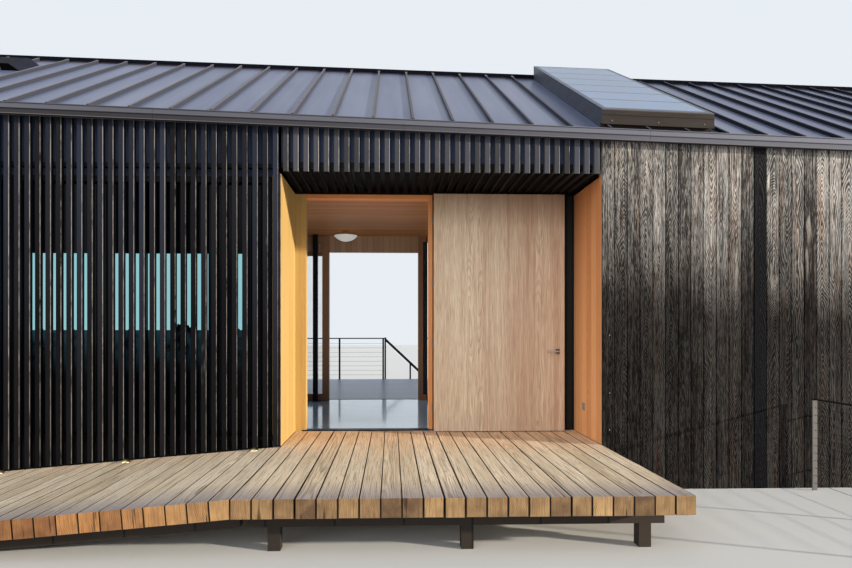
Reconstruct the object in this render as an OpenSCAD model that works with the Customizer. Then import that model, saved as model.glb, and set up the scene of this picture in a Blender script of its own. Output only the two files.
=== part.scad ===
// Beach house with a long standing-seam gable roof, a dark batten screen,
// a recessed entrance with a wide oak door, charred board walls,
// a sleeper platform with a ramp and a rear deck with a balustrade.
// Origin: at ground level under the middle of the ridge. X runs along the front,
// the front faces -Y. All lengths are in millimetres.

/* [House body] */
// Length of the house between the outer faces of its gable walls
house_l = 14200; // [13400:100:16000]
// Depth of the closed rooms, front wall face to rear wall face
room_d = 3880; // [3600:20:4400]
// Thickness of the board-clad walls
wall_t = 150; // [100:10:200]
// Height of the floor and decks above the ground
floor_h = 450; // [400:10:600]
// Height of the flat ceiling above the window heads
ceiling_up = 20; // [5:5:80]
// Thickness of the ceiling
ceiling_t = 60; // [30:5:100]

/* [Roof] */
// Plan depth of the roof from front eave to rear eave
roof_d = 5860; // [5700:20:6200]
// Height of the ridge above the ground
ridge_h = 5432; // [5300:2:5800]
// Height of the roof surface above the ground at the middle of an eave
eave_h = 3608; // [3570:2:3700]
// Fall of the front eave over the length of the house
eave_fall = 470; // [300:10:520]
// Overhang of the eaves past the front wall face
eave_over = 80; // [60:5:120]
// Overhang of the roof past the gable walls
gable_over = 60; // [20:5:150]
// Vertical thickness of the roof panels
roof_t = 98; // [80:2:130]
// Spacing of the standing seams
seam_pitch = 394; // [300:2:500]
// Place of the seam that is nearest the middle of the house
seam_shift = 12; // [-150:2:150]
// Width of one standing seam
seam_w = 24; // [12:1:40]
// Height of the standing seams above the pans
seam_h = 42; // [25:1:60]
// Half width of the ridge cap
cap_w = 130; // [90:5:180]
// Height of the ridge cap above the seams
cap_h = 10; // [4:1:25]
// Height of the eave fascia
fascia_h = 111; // [90:1:115]
// Distance that the fascia rises above the roof pans and hides the seam ends
fascia_up = 42; // [0:2:60]
// Thickness of the eave fascia
fascia_t = 30; // [20:1:40]
// Thickness of the barge boards on the gables
barge_t = 25; // [15:1:50]
// Depth of the barge boards below the roof panels
barge_drop = 40; // [10:5:90]

/* [Skylight and vent] */
// Width of the skylight
sky_w = 1150; // [900:10:1400]
// Left side of the skylight, measured from the middle of the house
sky_x = 1530; // [1400:10:2000]
// Height of the skylight box above the roof surface
sky_h = 203; // [150:1:240]
// Distance from the eave to the front of the skylight
sky_setback = 120; // [60:10:400]
// Thickness of the skylight frame
sky_frame = 55; // [35:5:90]
// Shadow gap below the front of the skylight
sky_gap = 50; // [20:5:60]
// Number of glass panes up the skylight
sky_panes = 6; // [3:1:8]
// Width of the roof vent
vent_w = 1000; // [600:50:1400]
// Right side of the roof vent, measured from the left gable face
vent_in = 1770; // [1700:10:2400]
// Gap between the roof vent and the ridge cap
vent_gap = 330; // [40:10:500]
// Depth of the roof vent down the slope
vent_d = 530; // [400:10:800]
// Height of the roof vent above the pans
vent_h = 85; // [60:5:140]
// Distance that the ends of the roof vent slope in
vent_hip = 110; // [40:10:160]

/* [Entrance] */
// Middle of the entrance opening, measured from the middle of the house
entry_x = -90; // [-300:10:300]
// Width of the entrance opening, a whole number of canopy battens
entry_w = 3200; // [3100:100:3300]
// Depth of the recess from the wall face to the door frame
recess_d = 870; // [800:10:1000]
// Thickness of the reveal walls
reveal_t = 100; // [80:5:140]
// Left edge of the door frame from the left reveal
frame_in = 75; // [60:5:110]
// Outer width of the door frame
frame_w = 1490; // [1300:10:1500]
// Outer height of the door frame, with which the front window heads line up
frame_h = 2700; // [2500:10:2700]
// Face width of the frame members
frame_face = 47; // [35:1:70]
// Depth of the door frame
frame_d = 100; // [80:5:140]
// Height of the black threshold
sill_h = 14; // [8:1:25]
// Thickness of the door leaf
leaf_t = 45; // [38:1:60]
// Gap between the closed leaf and the frame
leaf_gap = 6; // [5:1:9]
// Gap between the leaf and the platform
leaf_lift = 8; // [6:1:12]
// Radius of the hinge knuckles
knuckle_r = 8; // [7:0.5:10]
// Radius of the hinge pins
pin_r = 5; // [3:0.5:5.5]
// Running clearance round a hinge pin
pin_gap = 0.1; // [0.05:0.05:0.1]
// Height of one hinge
hinge_h = 100; // [80:5:140]
// Thickness of the hinge plates
plate_t = 3; // [2:0.5:4]
// Height of the door lever above the floor
lever_h = 910; // [850:10:1100]
// Length of the door lever
lever_l = 135; // [110:5:160]
// Radius of the door lever
lever_r = 9; // [7:0.5:11]
// Distance that the lever stands out from the leaf
lever_out = 52; // [45:1:65]
// Radius of the lever rose
rose_r = 20; // [14:1:26]
// Thickness of the lever rose
rose_t = 9; // [5:1:12]
// Gap between the lever rose and the door frame when the leaf is closed
rose_gap = 7; // [6:1:20]

/* [Battens] */
// Width of the screen and canopy battens
batten_w = 50; // [30:1:60]
// Depth of the screen and canopy battens
batten_d = 50; // [40:1:70]
// Spacing of the battens
batten_pitch = 100; // [80:5:120]
// Gap between the door frame and the canopy battens above it
canopy_gap = 12; // [6:1:20]
// Height of the rails behind the screen
rail_h = 45; // [30:1:80]
// Depth of the rails behind the screen
rail_d = 50; // [30:5:60]
// Gap between the screen battens and the ramp
screen_gap = 12; // [8:1:30]

/* [Left windows] */
// Number of window bays behind the screen
left_bays = 4; // [3:1:6]
// Face width of the window mullions
mullion_w = 60; // [50:5:140]
// Depth of the window frames
window_d = 60; // [40:5:90]
// Thickness of the window glass
glass_t = 8; // [6:1:12]
// Height of the base board above the floor
plinth_up = 100; // [40:5:160]
// Thickness of the base board
plinth_t = 45; // [20:5:60]

/* [Rear wall] */
// Height of the rear window heads above the floor
rear_head = 2452; // [2300:10:2600]
// Left side of the rear doorway, measured from the middle of the house
rear_door_x = -1626; // [-1800:10:-1500]
// Clear width of the rear doorway
rear_door_w = 1475; // [1300:5:1500]
// Face width of the timber stiles of the sliding door
stile_w = 109; // [80:1:130]
// Thickness of the sliding door
slider_t = 45; // [35:1:60]
// Gap between the sliding door and the rear frame
slider_gap = 10; // [6:1:20]
// Gap between the sliding door and the ceiling that it hangs from
slider_lift = 12; // [8:1:20]
// Clearance of the hangers below the ceiling
hanger_gap = 0.3; // [0.2:0.1:0.5]
// Gap between the inner steel post and the sliding door
steel_gap = 38; // [10:2:80]
// Width of the narrow side pane next to the rear doorway
side_pane = 118; // [90:1:200]
// Width of the timber post of the rear doorway
jamb_w = 83; // [60:1:110]
// Number of fixed bays left of the rear doorway
rear_bays = 3; // [2:1:5]
// Width of the steel posts
steel_w = 77; // [60:1:100]
// Width of the window in the boarded rear wall
rear_win_w = 2400; // [1500:100:3000]
// Height of the sill of that window above the floor
rear_win_sill = 600; // [300:50:1100]

/* [Platform and ramp] */
// Distance that the platform stands out from the wall face
platform_out = 1770; // [1500:10:2000]
// Thickness of the sleepers
sleeper_t = 135; // [110:5:150]
// Spacing of the sleepers
sleeper_pitch = 145; // [120:5:200]
// Gap between two sleepers
sleeper_gap = 5; // [3:1:10]
// Length of the ramp along the house front
ramp_l = 4900; // [4400:50:5000]
// Fall of the ramp over its length
ramp_fall = 408; // [380:1:420]
// Depth of the gaps between the ramp planks
ramp_groove = 30; // [10:5:40]
// Width of the bearers below the sleepers
bearer_w = 90; // [70:5:120]
// Setback of the bearers from the sides of the platform
bearer_side = 100; // [50:10:200]
// Depth of the bearers below the sleepers
bearer_h = 140; // [100:5:190]
// Packing gap between a bearer and its stump
seat_gap = 0.3; // [0.2:0.1:0.5]
// Setback of the front bearer from the sleeper ends
bearer_in = 260; // [150:10:400]

/* [Rear deck] */
// Depth of the rear deck from the rear wall to its edge
rear_deck_d = 4140; // [3400:20:4600]
// Thickness of the deck boards
deck_t = 32; // [22:1:45]
// Depth of the deck joists
joist_h = 190; // [140:10:240]
// Width of the deck joists and rim
joist_w = 45; // [38:1:70]
// Number of deck joist bays along the house
joist_bays = 12; // [8:1:20]
// Width of the deck stumps
stump_w = 125; // [90:5:150]
// Distance of the inner stumps from the roof edge
stump_in = 100; // [50:10:300]
// Height of the balustrade above the deck
rail_top = 990; // [900:10:1100]
// Width of the balustrade posts
post_w = 40; // [30:1:60]
// Width of the balustrade rails
rail_w = 50; // [40:1:70]
// Thickness of the balustrade rails
rail_t = 25; // [10:1:40]
// Largest spacing of the balustrade posts
post_pitch = 1200; // [1000:50:1500]
// Number of wires in the balustrade
wire_n = 8; // [5:1:10]
// Radius of the wires
wire_r = 2.5; // [1.5:0.5:5]
// Top of the stair, which runs down beside the deck edge
stair_x = -770; // [-1000:10:-600]
// Width of the stair and of its opening in the balustrade
stair_w = 900; // [850:10:1200]
// Number of risers of the stair
stair_n = 3; // [2:1:4]
// Depth of one stair tread
tread_d = 280; // [240:5:320]
// Length of the sloping handrail along the stair
hand_l = 1000; // [800:10:1200]
// Fall of the sloping handrail over that length
hand_fall = 940; // [700:10:1000]
// Thickness of the sloping handrail
hand_t = 60; // [30:5:80]
// Width of the veranda posts
veranda_post = 90; // [75:5:120]
// Distance of the veranda posts from the middle of the house
veranda_x = 2650; // [2400:50:3400]
// Depth of the veranda beam
beam_h = 200; // [150:10:240]

/* [Side fence] */
// Place of the side fence along the front, from the middle of the house
fence_x = 3600; // [3000:50:6000]
// Height of the side fence above the ground
fence_h = 915; // [800:5:1100]
// Length of one fence bay
fence_bay = 1000; // [800:50:1300]
// Number of fence bays
fence_bays = 2; // [1:1:6]
// Width of the flat fence posts
fence_post_w = 48; // [40:1:60]
// Thickness of the flat fence posts and rail
fence_post_t = 12; // [8:1:20]
// Gap between the fence and the wall
fence_gap = 80; // [40:5:150]
// Spacing of the fence wires
fence_wire_pitch = 75; // [60:5:120]

/* [Ceiling light] */
// Radius of the dome light
light_r = 183; // [120:1:220]
// Height of the dome
light_h = 88; // [60:2:120]
// Length of the stem between the ceiling and the dome
light_drop = 75; // [40:5:150]
// Place of the dome light along the house
light_x = -1315; // [-2400:5:200]
// Distance of the dome light from the wall face
light_y = 3350; // [1600:10:3400]

/* [Hidden] */

$fn = 32;
big = 2 * house_l;
// Roof geometry: both slopes meet in a level ridge that is skewed in plan
rise_y = (ridge_h - eave_h) / (roof_d / 2);
fall_x = eave_fall / house_l;
skew = atan(fall_x / rise_y);
pitch = atan(sqrt(rise_y * rise_y + fall_x * fall_x));
roof_x = house_l / 2 + gable_over;
// Main planes
front_y = -roof_d / 2 + eave_over;
wing_y = roof_d / 2 - eave_over;
rear_y = front_y + room_d;
in_x = house_l / 2 - wall_t;
glass_y = front_y + wall_t;
rear_frame_y = rear_y - window_d;
ceil_z = floor_h + frame_h + ceiling_up;
// Entrance
entry_l = entry_x - entry_w / 2;
entry_r = entry_x + entry_w / 2;
door_y = front_y + recess_d;
frame_l = entry_l + frame_in;
frame_r = frame_l + frame_w;
canopy_under = floor_h + frame_h + canopy_gap;
lining_t = 38;
leaf_h = frame_h - 2 * leaf_lift;
hinge_x = frame_r;
hinge_y = door_y - leaf_gap - leaf_t;
leaf_w = frame_w + leaf_gap;
lever_x = hinge_x + frame_w - frame_face - rose_gap - rose_r;
lining_w = 25;
screen_back = front_y + batten_d + rail_d;
// Rear openings
rear_jamb_x = rear_door_x + rear_door_w;
rear_glazed_x = rear_jamb_x + jamb_w + side_pane;
rear_left_w = rear_door_x + in_x;
slider_l = rear_door_w + 2 * slider_gap;
slider_y = rear_frame_y - slider_gap - slider_t;
deck_y = rear_y + rear_deck_d;

// Everything below the front slope, lowered by d
module below_front(d) {
    translate([0, 0, ridge_h - d])
        rotate([0, 0, skew])
            rotate([pitch, 0, 0])
                translate([-big, -big, -big])
                    cube([2 * big, 2 * big, big]);
}

// Everything below both slopes, lowered by d
module below_roof(d) {
    intersection() {
        below_front(d);
        rotate([0, 0, 180]) below_front(d);
    }
}

// A plain block between two corners
module block(a, b) {
    translate(a) cube(b - a);
}

// A block that is cut off by the underside of the roof panels
module wall(a, b) {
    intersection() {
        block(a, [b[0], b[1], ridge_h]);
        below_roof(roof_t);
    }
}

// Height of the top of the fascia along the front eave
function lip_z(x) = eave_h + fascia_up - fall_x * x;

// The front slope: pans with standing seams, up to the middle of the ridge
module roof_slope() {
    e = -roof_d / 2 + fascia_t;
    difference() {
        intersection() {
            union() {
                intersection() {
                    block([-roof_x, e, floor_h], [roof_x, big / 4, big / 4]);
                    below_front(0);
                }
                intersection() {
                    for (i = [-floor(roof_x / seam_pitch) : floor(roof_x / seam_pitch)])
                        translate([seam_shift + i * seam_pitch - seam_w / 2, e, floor_h])
                            cube([seam_w, big / 4, big / 4]);
                    below_front(-seam_h);
                    rotate([0, 0, skew])
                        translate([-big / 2, -big / 2, 0])
                            cube([big, big / 2 - cap_w, big / 2]);
                }
            }
            rotate([0, 0, skew])
                translate([-big / 2, -big / 2, 0])
                    cube([big, big / 2, big / 2]);
        }
        below_front(roof_t);
    }
}

module front_roof() {
    color("#7f859a")
        difference() {
            roof_slope();
            sky_hole();
            vent_hole();
        }
}

module rear_roof() {
    color("#7a7f92") rotate([0, 0, 180]) roof_slope();
}

module ridge_cap() {
    color("#1c212c")
        intersection() {
            difference() {
                below_roof(-seam_h - cap_h);
                below_roof(0);
            }
            block([-roof_x, -big / 8, 0], [roof_x, big / 8, big / 2]);
            rotate([0, 0, skew])
                translate([-big / 2, -cap_w, 0])
                    cube([big, 2 * cap_w, big / 2]);
        }
}

// Eave fascia with a lighter flashing above and a set-back band below
module fascia() {
    xe = roof_x;
    mid = 0.52 * fascia_h;
    translate([0, -roof_d / 2, 0])
        rotate([90, 0, 0])
            mirror([0, 0, 1]) {
                linear_extrude(fascia_t)
                    polygon([[-xe, lip_z(-xe) - mid], [xe, lip_z(xe) - mid],
                        [xe, lip_z(xe)], [-xe, lip_z(-xe)]]);
                translate([0, 0, fascia_t / 3])
                    linear_extrude(fascia_t * 2 / 3)
                        polygon([[-xe, lip_z(-xe) - fascia_h], [xe, lip_z(xe) - fascia_h],
                            [xe, lip_z(xe) - mid], [-xe, lip_z(-xe) - mid]]);
            }
}

module front_fascia() {
    color("#626268") fascia();
}

module rear_fascia() {
    color("#626268") rotate([0, 0, 180]) fascia();
}

module barge_boards() {
    color("#4a4c54")
        for (s = [0, 180])
            rotate([0, 0, s])
                difference() {
                    intersection() {
                        block([roof_x, -roof_d / 2, floor_h], [roof_x + barge_t, roof_d / 2, big / 4]);
                        below_roof(-seam_h);
                    }
                    below_roof(roof_t + barge_drop);
                }
}

// The plan outline of the skylight, from near the eave to the ridge
module sky_plan(grow) {
    intersection() {
        block([sky_x - grow, -roof_d / 2 + sky_setback - grow, floor_h],
            [sky_x + sky_w + grow, big / 8, big / 4]);
        rotate([0, 0, skew])
            translate([-big / 2, -big / 2, 0])
                cube([big, big / 2 - cap_w + grow, big / 2]);
    }
}

// The seams stop at the skylight
module sky_hole() {
    difference() {
        sky_plan(0);
        below_front(0);
    }
}

module skylight_box() {
    color("#4b4540")
        difference() {
            intersection() {
                sky_plan(0);
                below_front(-sky_h);
            }
            below_front(0);
            // recess that takes the panes
            difference() {
                sky_plan(-sky_frame);
                below_front(-sky_h + sky_frame / 2);
            }
            // shadow gap under the front face
            translate([sky_x - 1, -roof_d / 2 + sky_setback - 1, 0])
                intersection() {
                    cube([sky_w + 2, sky_frame, big / 4]);
                    translate([-sky_x, roof_d / 2 - sky_setback, 0]) below_front(-sky_gap);
                }
        }
}

module skylight_glass() {
    pane_d = (roof_d / 2 - sky_setback - cap_w - 2 * sky_frame) / sky_panes;
    color("#aab9cd")
        difference() {
            intersection() {
                sky_plan(-sky_frame);
                below_front(-sky_h);
                difference() {
                    block([0, -roof_d, 0], [big / 4, roof_d, big / 4]);
                    // joints between the panes
                    for (i = [1 : sky_panes - 1])
                        translate([0, -roof_d / 2 + sky_setback + sky_frame + i * pane_d, 0])
                            cube([big / 4, 6, big / 4]);
                }
            }
            below_front(-sky_h + sky_frame / 2);
        }
}

// Puts its children on the front slope: X along the ridge, Y up the slope,
// with the origin at the upper left corner of the vent
module on_vent_place() {
    translate([0, 0, ridge_h])
        rotate([0, 0, skew])
            rotate([pitch, 0, 0])
                translate([-house_l / 2 + vent_in - vent_w, -(cap_w + vent_gap) / cos(pitch), 0])
                    children();
}

// The seams stop at the vent
module vent_hole() {
    on_vent_place() translate([0, -vent_d, 0]) cube([vent_w, vent_d, 2 * seam_h]);
}

// A low louvre box with sloping ends
module roof_vent() {
    color("#16181d")
        on_vent_place()
            rotate([90, 0, 0])
                linear_extrude(vent_d)
                    polygon([[0, 0], [vent_w, 0], [vent_w - vent_hip, vent_h], [vent_hip, vent_h]]);
}

module floor_slab() {
    color("#8d96a0")
        difference() {
            block([-in_x, glass_y, 0], [in_x, rear_y, floor_h]);
            block([entry_l - reveal_t, front_y - 1, -1],
                [entry_r + lining_w + reveal_t, door_y, floor_h + 1]);
        }
}

module left_plinth() {
    color("#20242c")
        block([-in_x, glass_y - plinth_t, 0], [entry_l - reveal_t, glass_y, floor_h + plinth_up]);
}

// A window frame from x0 to x1 with n bays, head at height h above the floor
module window_frame(x0, x1, y0, h, n) {
    bay = (x1 - x0 - mullion_w) / n;
    difference() {
        block([x0, y0, floor_h], [x1, y0 + window_d, floor_h + h]);
        for (i = [0 : n - 1])
            block([x0 + i * bay + mullion_w, y0 - 1, floor_h + mullion_w],
                [x0 + (i + 1) * bay, y0 + window_d + 1, floor_h + h - mullion_w]);
    }
}

module left_window_frame() {
    color("#1b1f27")
        window_frame(-in_x, entry_l - reveal_t, glass_y, frame_h, left_bays);
}

module left_window_glass() {
    color("#9fb4c4", 0.4)
        block([-in_x, glass_y + window_d, floor_h],
            [entry_l - reveal_t, glass_y + window_d + glass_t, floor_h + frame_h]);
}

module left_spandrel() {
    color("#202836")
        wall([-in_x, glass_y, floor_h + frame_h], [entry_l - reveal_t, glass_y + window_d]);
}

// The batten screen: battens hang from the eave fascia to just over the ramp
module left_screen() {
    x1 = entry_l - lining_w;
    n = floor((x1 + house_l / 2) / batten_pitch);
    color("#2a2a2e") {
        intersection() {
            union() {
                for (i = [0 : n - 1])
                    translate([x1 - batten_w - i * batten_pitch, front_y, 0])
                        cube([batten_w, batten_d, eave_h + eave_fall]);
                for (z = [floor_h + plinth_up / 2, canopy_under + rail_h])
                    block([-house_l / 2, front_y + batten_d, z],
                        [x1, front_y + batten_d + rail_d, z + rail_h]);
            }
            below_roof(roof_t);
            screen_zone();
        }
    }
}

// The space that the screen may fill: above the line of the ramp
module screen_zone() {
    rotate([90, 0, 0])
        translate([0, 0, -front_y - batten_d - rail_d])
            linear_extrude(batten_d + rail_d)
                polygon([[entry_l, floor_h + screen_gap],
                    [entry_l, big / 4], [-big / 4, big / 4],
                    [-big / 4, screen_gap], [entry_l - ramp_l, ramp_top(ramp_l) + screen_gap]]);
}

// Height of the ramp surface at distance d from its upper end
function ramp_top(d) = floor_h - d * ramp_fall / ramp_l;

module left_reveal() {
    color("#b5763a") {
        block([entry_l - lining_w, front_y, floor_h], [entry_l, door_y, floor_h + frame_h]);
        block([entry_l - reveal_t, screen_back, floor_h], [entry_l - lining_w, door_y, floor_h + frame_h]);
        block([entry_l - reveal_t, door_y, floor_h], [frame_l, door_y + frame_d, floor_h + frame_h]);
    }
}

module right_reveal() {
    color("#a9683a") {
        block([entry_r, front_y, floor_h], [entry_r + lining_w, door_y, floor_h + frame_h]);
        block([entry_r + lining_w, glass_y, floor_h],
            [entry_r + lining_w + reveal_t, door_y + frame_d, floor_h + frame_h]);
    }
}

// L-shaped battens: a short upright below the eave and a long leg over the recess
module canopy_battens() {
    n = floor(entry_w / batten_pitch);
    color("#646467")
        intersection() {
            for (i = [0 : n - 1])
                translate([entry_l + i * batten_pitch + (batten_pitch - batten_w) / 2, front_y, canopy_under]) {
                    cube([batten_w, batten_d, eave_h]);
                    cube([batten_w, recess_d, batten_d]);
                }
            below_roof(roof_t);
        }
}

module canopy_box() {
    color("#1e2430") {
        block([entry_l, front_y + batten_d, canopy_under + batten_d],
            [entry_r, door_y, canopy_under + batten_d + lining_t]);
        wall([entry_l, front_y + batten_d, canopy_under + batten_d + lining_t],
            [entry_r, front_y + batten_d + window_d]);
        block([entry_l - reveal_t, door_y, floor_h + frame_h],
            [entry_r + lining_w + reveal_t, door_y + frame_d, canopy_under + batten_d + lining_t]);
    }
}

module door_frame() {
    color("#af693c")
        difference() {
            block([frame_l, door_y, floor_h + sill_h], [frame_r, door_y + frame_d, floor_h + frame_h]);
            block([frame_l + frame_face, door_y - 1, floor_h],
                [frame_r - frame_face, door_y + frame_d + 1, floor_h + frame_h - frame_face]);
        }
}

module door_threshold() {
    color("#121316")
        block([frame_l, door_y, floor_h], [frame_r, door_y + frame_d, floor_h + sill_h]);
}

module entry_side_panel() {
    color("#15171b")
        block([frame_r, door_y, floor_h], [entry_r + lining_w, door_y + frame_d, floor_h + frame_h]);
}

// The leaf stands folded back against the side panel, its open position
module front_door() {
    color("#c8a587")
        block([hinge_x + knuckle_r, hinge_y - leaf_t, floor_h + leaf_lift],
            [hinge_x + leaf_w, hinge_y, floor_h + leaf_lift + leaf_h]);
}

// The round rose of a lever, on the leaf face at y = 0
module rose() {
    rotate([90, 0, 0]) cylinder(r = rose_r, h = rose_t);
}

// One lever with its rose, standing off the leaf face at y = 0 towards -Y
module lever() {
    rose();
    rotate([90, 0, 0]) cylinder(r = lever_r, h = lever_out);
    translate([0, -lever_out + lever_r, 0])
        rotate([0, -90, 0]) cylinder(r = lever_r, h = lever_l);
}

// Places of the hinges up the leaf, each half of one being hinge_h / 2 high
function hinge_z() = [for (k = [0.1, 0.37, 0.63, 0.9]) floor_h + leaf_h * k - hinge_h / 2];

// Levers on both faces and the upper halves of the hinges
module door_furniture() {
    color("#9a9da0") {
        translate([lever_x, hinge_y - leaf_t, floor_h + lever_h]) lever();
        translate([lever_x, hinge_y, floor_h + lever_h]) mirror([0, 1, 0]) rose();
        for (z = hinge_z())
            translate([hinge_x, hinge_y, z + hinge_h / 2 + pin_gap])
                difference() {
                    union() {
                        cylinder(r = knuckle_r, h = hinge_h / 2 - pin_gap);
                        translate([0, -plate_t, 0]) cube([knuckle_r, plate_t, hinge_h / 2 - pin_gap]);
                    }
                    translate([0, 0, -1]) cylinder(r = pin_r + pin_gap, h = hinge_h);
                }
    }
}

// Lower halves of the hinges with their pins, on plates that stand out from the frame
module door_hinges() {
    color("#8b8e91")
        for (z = hinge_z())
            translate([hinge_x, hinge_y, z]) {
                cylinder(r = knuckle_r, h = hinge_h / 2);
                cylinder(r = pin_r, h = hinge_h);
                translate([-plate_t / 2, 0, 0]) cube([plate_t, door_y - hinge_y, hinge_h / 2]);
            }
}

module right_front_wall() {
    color("#3b3836")
        wall([entry_r + lining_w, front_y, 0], [house_l / 2 - wall_t, glass_y]);
}

module left_gable_wall() {
    color("#33302e") wall([-house_l / 2, screen_back, 0], [-in_x, wing_y]);
}

module right_gable_wall() {
    color("#33302e") wall([in_x, front_y, 0], [house_l / 2, wing_y]);
}

module rear_wall() {
    wx = (rear_glazed_x + in_x) / 2;
    color("#3b3836")
        difference() {
            wall([rear_glazed_x, rear_y - wall_t, floor_h], [in_x, rear_y]);
            block([wx - rear_win_w / 2, rear_y - wall_t - 1, floor_h + rear_win_sill],
                [wx + rear_win_w / 2, rear_y + 1, floor_h + rear_head]);
        }
}

module rear_window_frame() {
    color("#8a5a34") {
        window_frame(-in_x, rear_door_x, rear_frame_y, rear_head, rear_bays);
        // the side pane has a post and two rails and stands up to the ceiling
        difference() {
            block([rear_jamb_x, rear_frame_y, floor_h], [rear_glazed_x, rear_y, ceil_z]);
            block([rear_jamb_x + jamb_w, rear_frame_y - 1, floor_h + jamb_w],
                [rear_glazed_x + 1, rear_y + 1, ceil_z - jamb_w]);
        }
    }
}

module rear_window_glass() {
    wx = (rear_glazed_x + in_x) / 2;
    color("#9fb4c4", 0.4) {
        block([-in_x, rear_y, floor_h], [rear_door_x, rear_y + glass_t, floor_h + rear_head]);
        block([rear_jamb_x + jamb_w, rear_y - window_d / 2, floor_h + jamb_w],
            [rear_glazed_x, rear_y - window_d / 2 + glass_t, ceil_z - jamb_w]);
        block([wx - rear_win_w / 2, rear_y - wall_t / 2, floor_h + rear_win_sill],
            [wx + rear_win_w / 2, rear_y - wall_t / 2 + glass_t, floor_h + rear_head]);
    }
}

module rear_spandrel() {
    color("#6b4a30") {
        wall([-in_x, rear_frame_y, floor_h + rear_head], [rear_jamb_x, rear_y]);
        wall([rear_jamb_x, rear_frame_y, ceil_z], [rear_glazed_x, rear_y]);
    }
}

// The sliding door stands open in front of the fixed panes and hangs from the ceiling
module sliding_door() {
    x1 = rear_door_x;
    x0 = x1 - slider_l;
    top = ceil_z - slider_lift;
    color("#9c6b40") {
        difference() {
            block([x0, slider_y, floor_h + leaf_lift], [x1, slider_y + slider_t, top]);
            block([x0 + stile_w, slider_y - 1, floor_h + stile_w],
                [x1 - stile_w, slider_y + slider_t + 1, top - stile_w]);
        }
        for (x = [x0 + stile_w / 4, x1 - stile_w * 3 / 4])
            block([x, slider_y + slider_t / 4, top],
                [x + stile_w / 2, slider_y + slider_t * 3 / 4, ceil_z - hanger_gap]);
    }
}

module sliding_door_glass() {
    x1 = rear_door_x;
    x0 = x1 - slider_l;
    color("#9fb4c4", 0.4)
        block([x0 + stile_w, slider_y + slider_t / 2, floor_h + stile_w],
            [x1 - stile_w, slider_y + slider_t / 2 + glass_t, ceil_z - slider_lift - stile_w]);
}

// One post stands inside, in front of the sliding door, the other outside the side pane
module steel_posts() {
    xi = rear_door_x - stile_w - 1.8 * steel_w;
    xo = rear_jamb_x + jamb_w;
    color("#17181b") {
        block([xi, slider_y - steel_gap - steel_w, floor_h], [xi + steel_w, slider_y - steel_gap, ceil_z]);
        wall([xo, rear_y + glass_t, floor_h], [xo + steel_w, rear_y + glass_t + steel_w]);
    }
}

module ceiling() {
    color("#5e442f")
        difference() {
            block([-in_x, glass_y + window_d, ceil_z], [in_x, rear_frame_y, ceil_z + ceiling_t]);
            block([entry_l - reveal_t, front_y, floor_h],
                [entry_r + lining_w + reveal_t, door_y + frame_d, ridge_h]);
            block([rear_glazed_x, rear_y - wall_t, floor_h], [house_l, rear_y + 1, ridge_h]);
        }
}

// A shallow dome on a stem
module ceiling_light() {
    ball_r = (light_r * light_r + light_h * light_h) / (2 * light_h);
    color("#f0f0ec")
        translate([light_x, front_y + light_y, ceil_z - light_drop]) {
            cylinder(r = light_r / 3, h = light_drop);
            intersection() {
                translate([0, 0, ball_r - light_h]) sphere(r = ball_r, $fn = 48);
                block([-ball_r, -ball_r, -2 * light_h], [ball_r, ball_r, 0]);
            }
        }
}

module veranda_frame() {
    color("#1d1e21") {
        intersection() {
            difference() {
                block([-in_x, wing_y - veranda_post, floor_h], [in_x, wing_y, big / 4]);
                below_roof(roof_t + beam_h);
            }
            below_roof(roof_t);
        }
        for (x = [-veranda_x, veranda_x])
            intersection() {
                block([x - veranda_post / 2, wing_y - veranda_post, floor_h],
                    [x + veranda_post / 2, wing_y, big / 4]);
                below_roof(roof_t + beam_h / 2);
            }
    }
}

// Sleepers run out from the door to the open front edge
module entry_platform() {
    n = floor(entry_w / sleeper_pitch);
    step = entry_w / n;
    color("#b99668")
        for (i = [0 : n - 1])
            block([entry_l + i * step + sleeper_gap / 2, front_y - platform_out, floor_h - sleeper_t],
                [entry_l + (i + 1) * step - sleeper_gap / 2, door_y, floor_h]);
}

// The ramp planks bear on each other below the gaps between their top edges
module entry_ramp() {
    n = floor(ramp_l / sleeper_pitch);
    a = atan(ramp_fall / ramp_l);
    color("#b28f63")
        intersection() {
            translate([entry_l, front_y - platform_out, floor_h])
                rotate([0, -a, 0])
                    difference() {
                        translate([-n * sleeper_pitch, 0, -sleeper_t])
                            cube([n * sleeper_pitch, platform_out, sleeper_t]);
                        for (i = [1 : n - 1])
                            translate([-i * sleeper_pitch, -1, -ramp_groove])
                                cube([sleeper_gap, platform_out + 2, sleeper_t]);
                    }
            block([-big / 4, -big / 4, 0], [entry_l, big / 4, floor_h]);
        }
}

// Bearers across the sleepers, on stumps
module entry_bearers() {
    z1 = floor_h - sleeper_t;
    z0 = z1 - bearer_h;
    a = atan(ramp_fall / ramp_l);
    color("#4a3a2a") {
        for (y = [front_y - platform_out + bearer_in, front_y - platform_out / 2, front_y + recess_d / 2]) {
            block([entry_l + bearer_side, y, z0], [entry_r - bearer_side, y + bearer_w, z1]);
            for (x = [entry_l + 2 * bearer_side, entry_x, entry_r - 2 * bearer_side - bearer_w])
                block([x, y, 0], [x + bearer_w, y + bearer_w, z0 - seat_gap]);
        }
        for (y = [front_y - platform_out + bearer_in, front_y - bearer_in])
            intersection() {
                translate([entry_l, y, floor_h])
                    rotate([0, -a, 0])
                        translate([-ramp_l, 0, -sleeper_t - bearer_h])
                            cube([ramp_l + bearer_h, bearer_w, bearer_h]);
                block([-big / 4, -big / 4, 0], [entry_l, big / 4, floor_h]);
            }
    }
}

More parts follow.
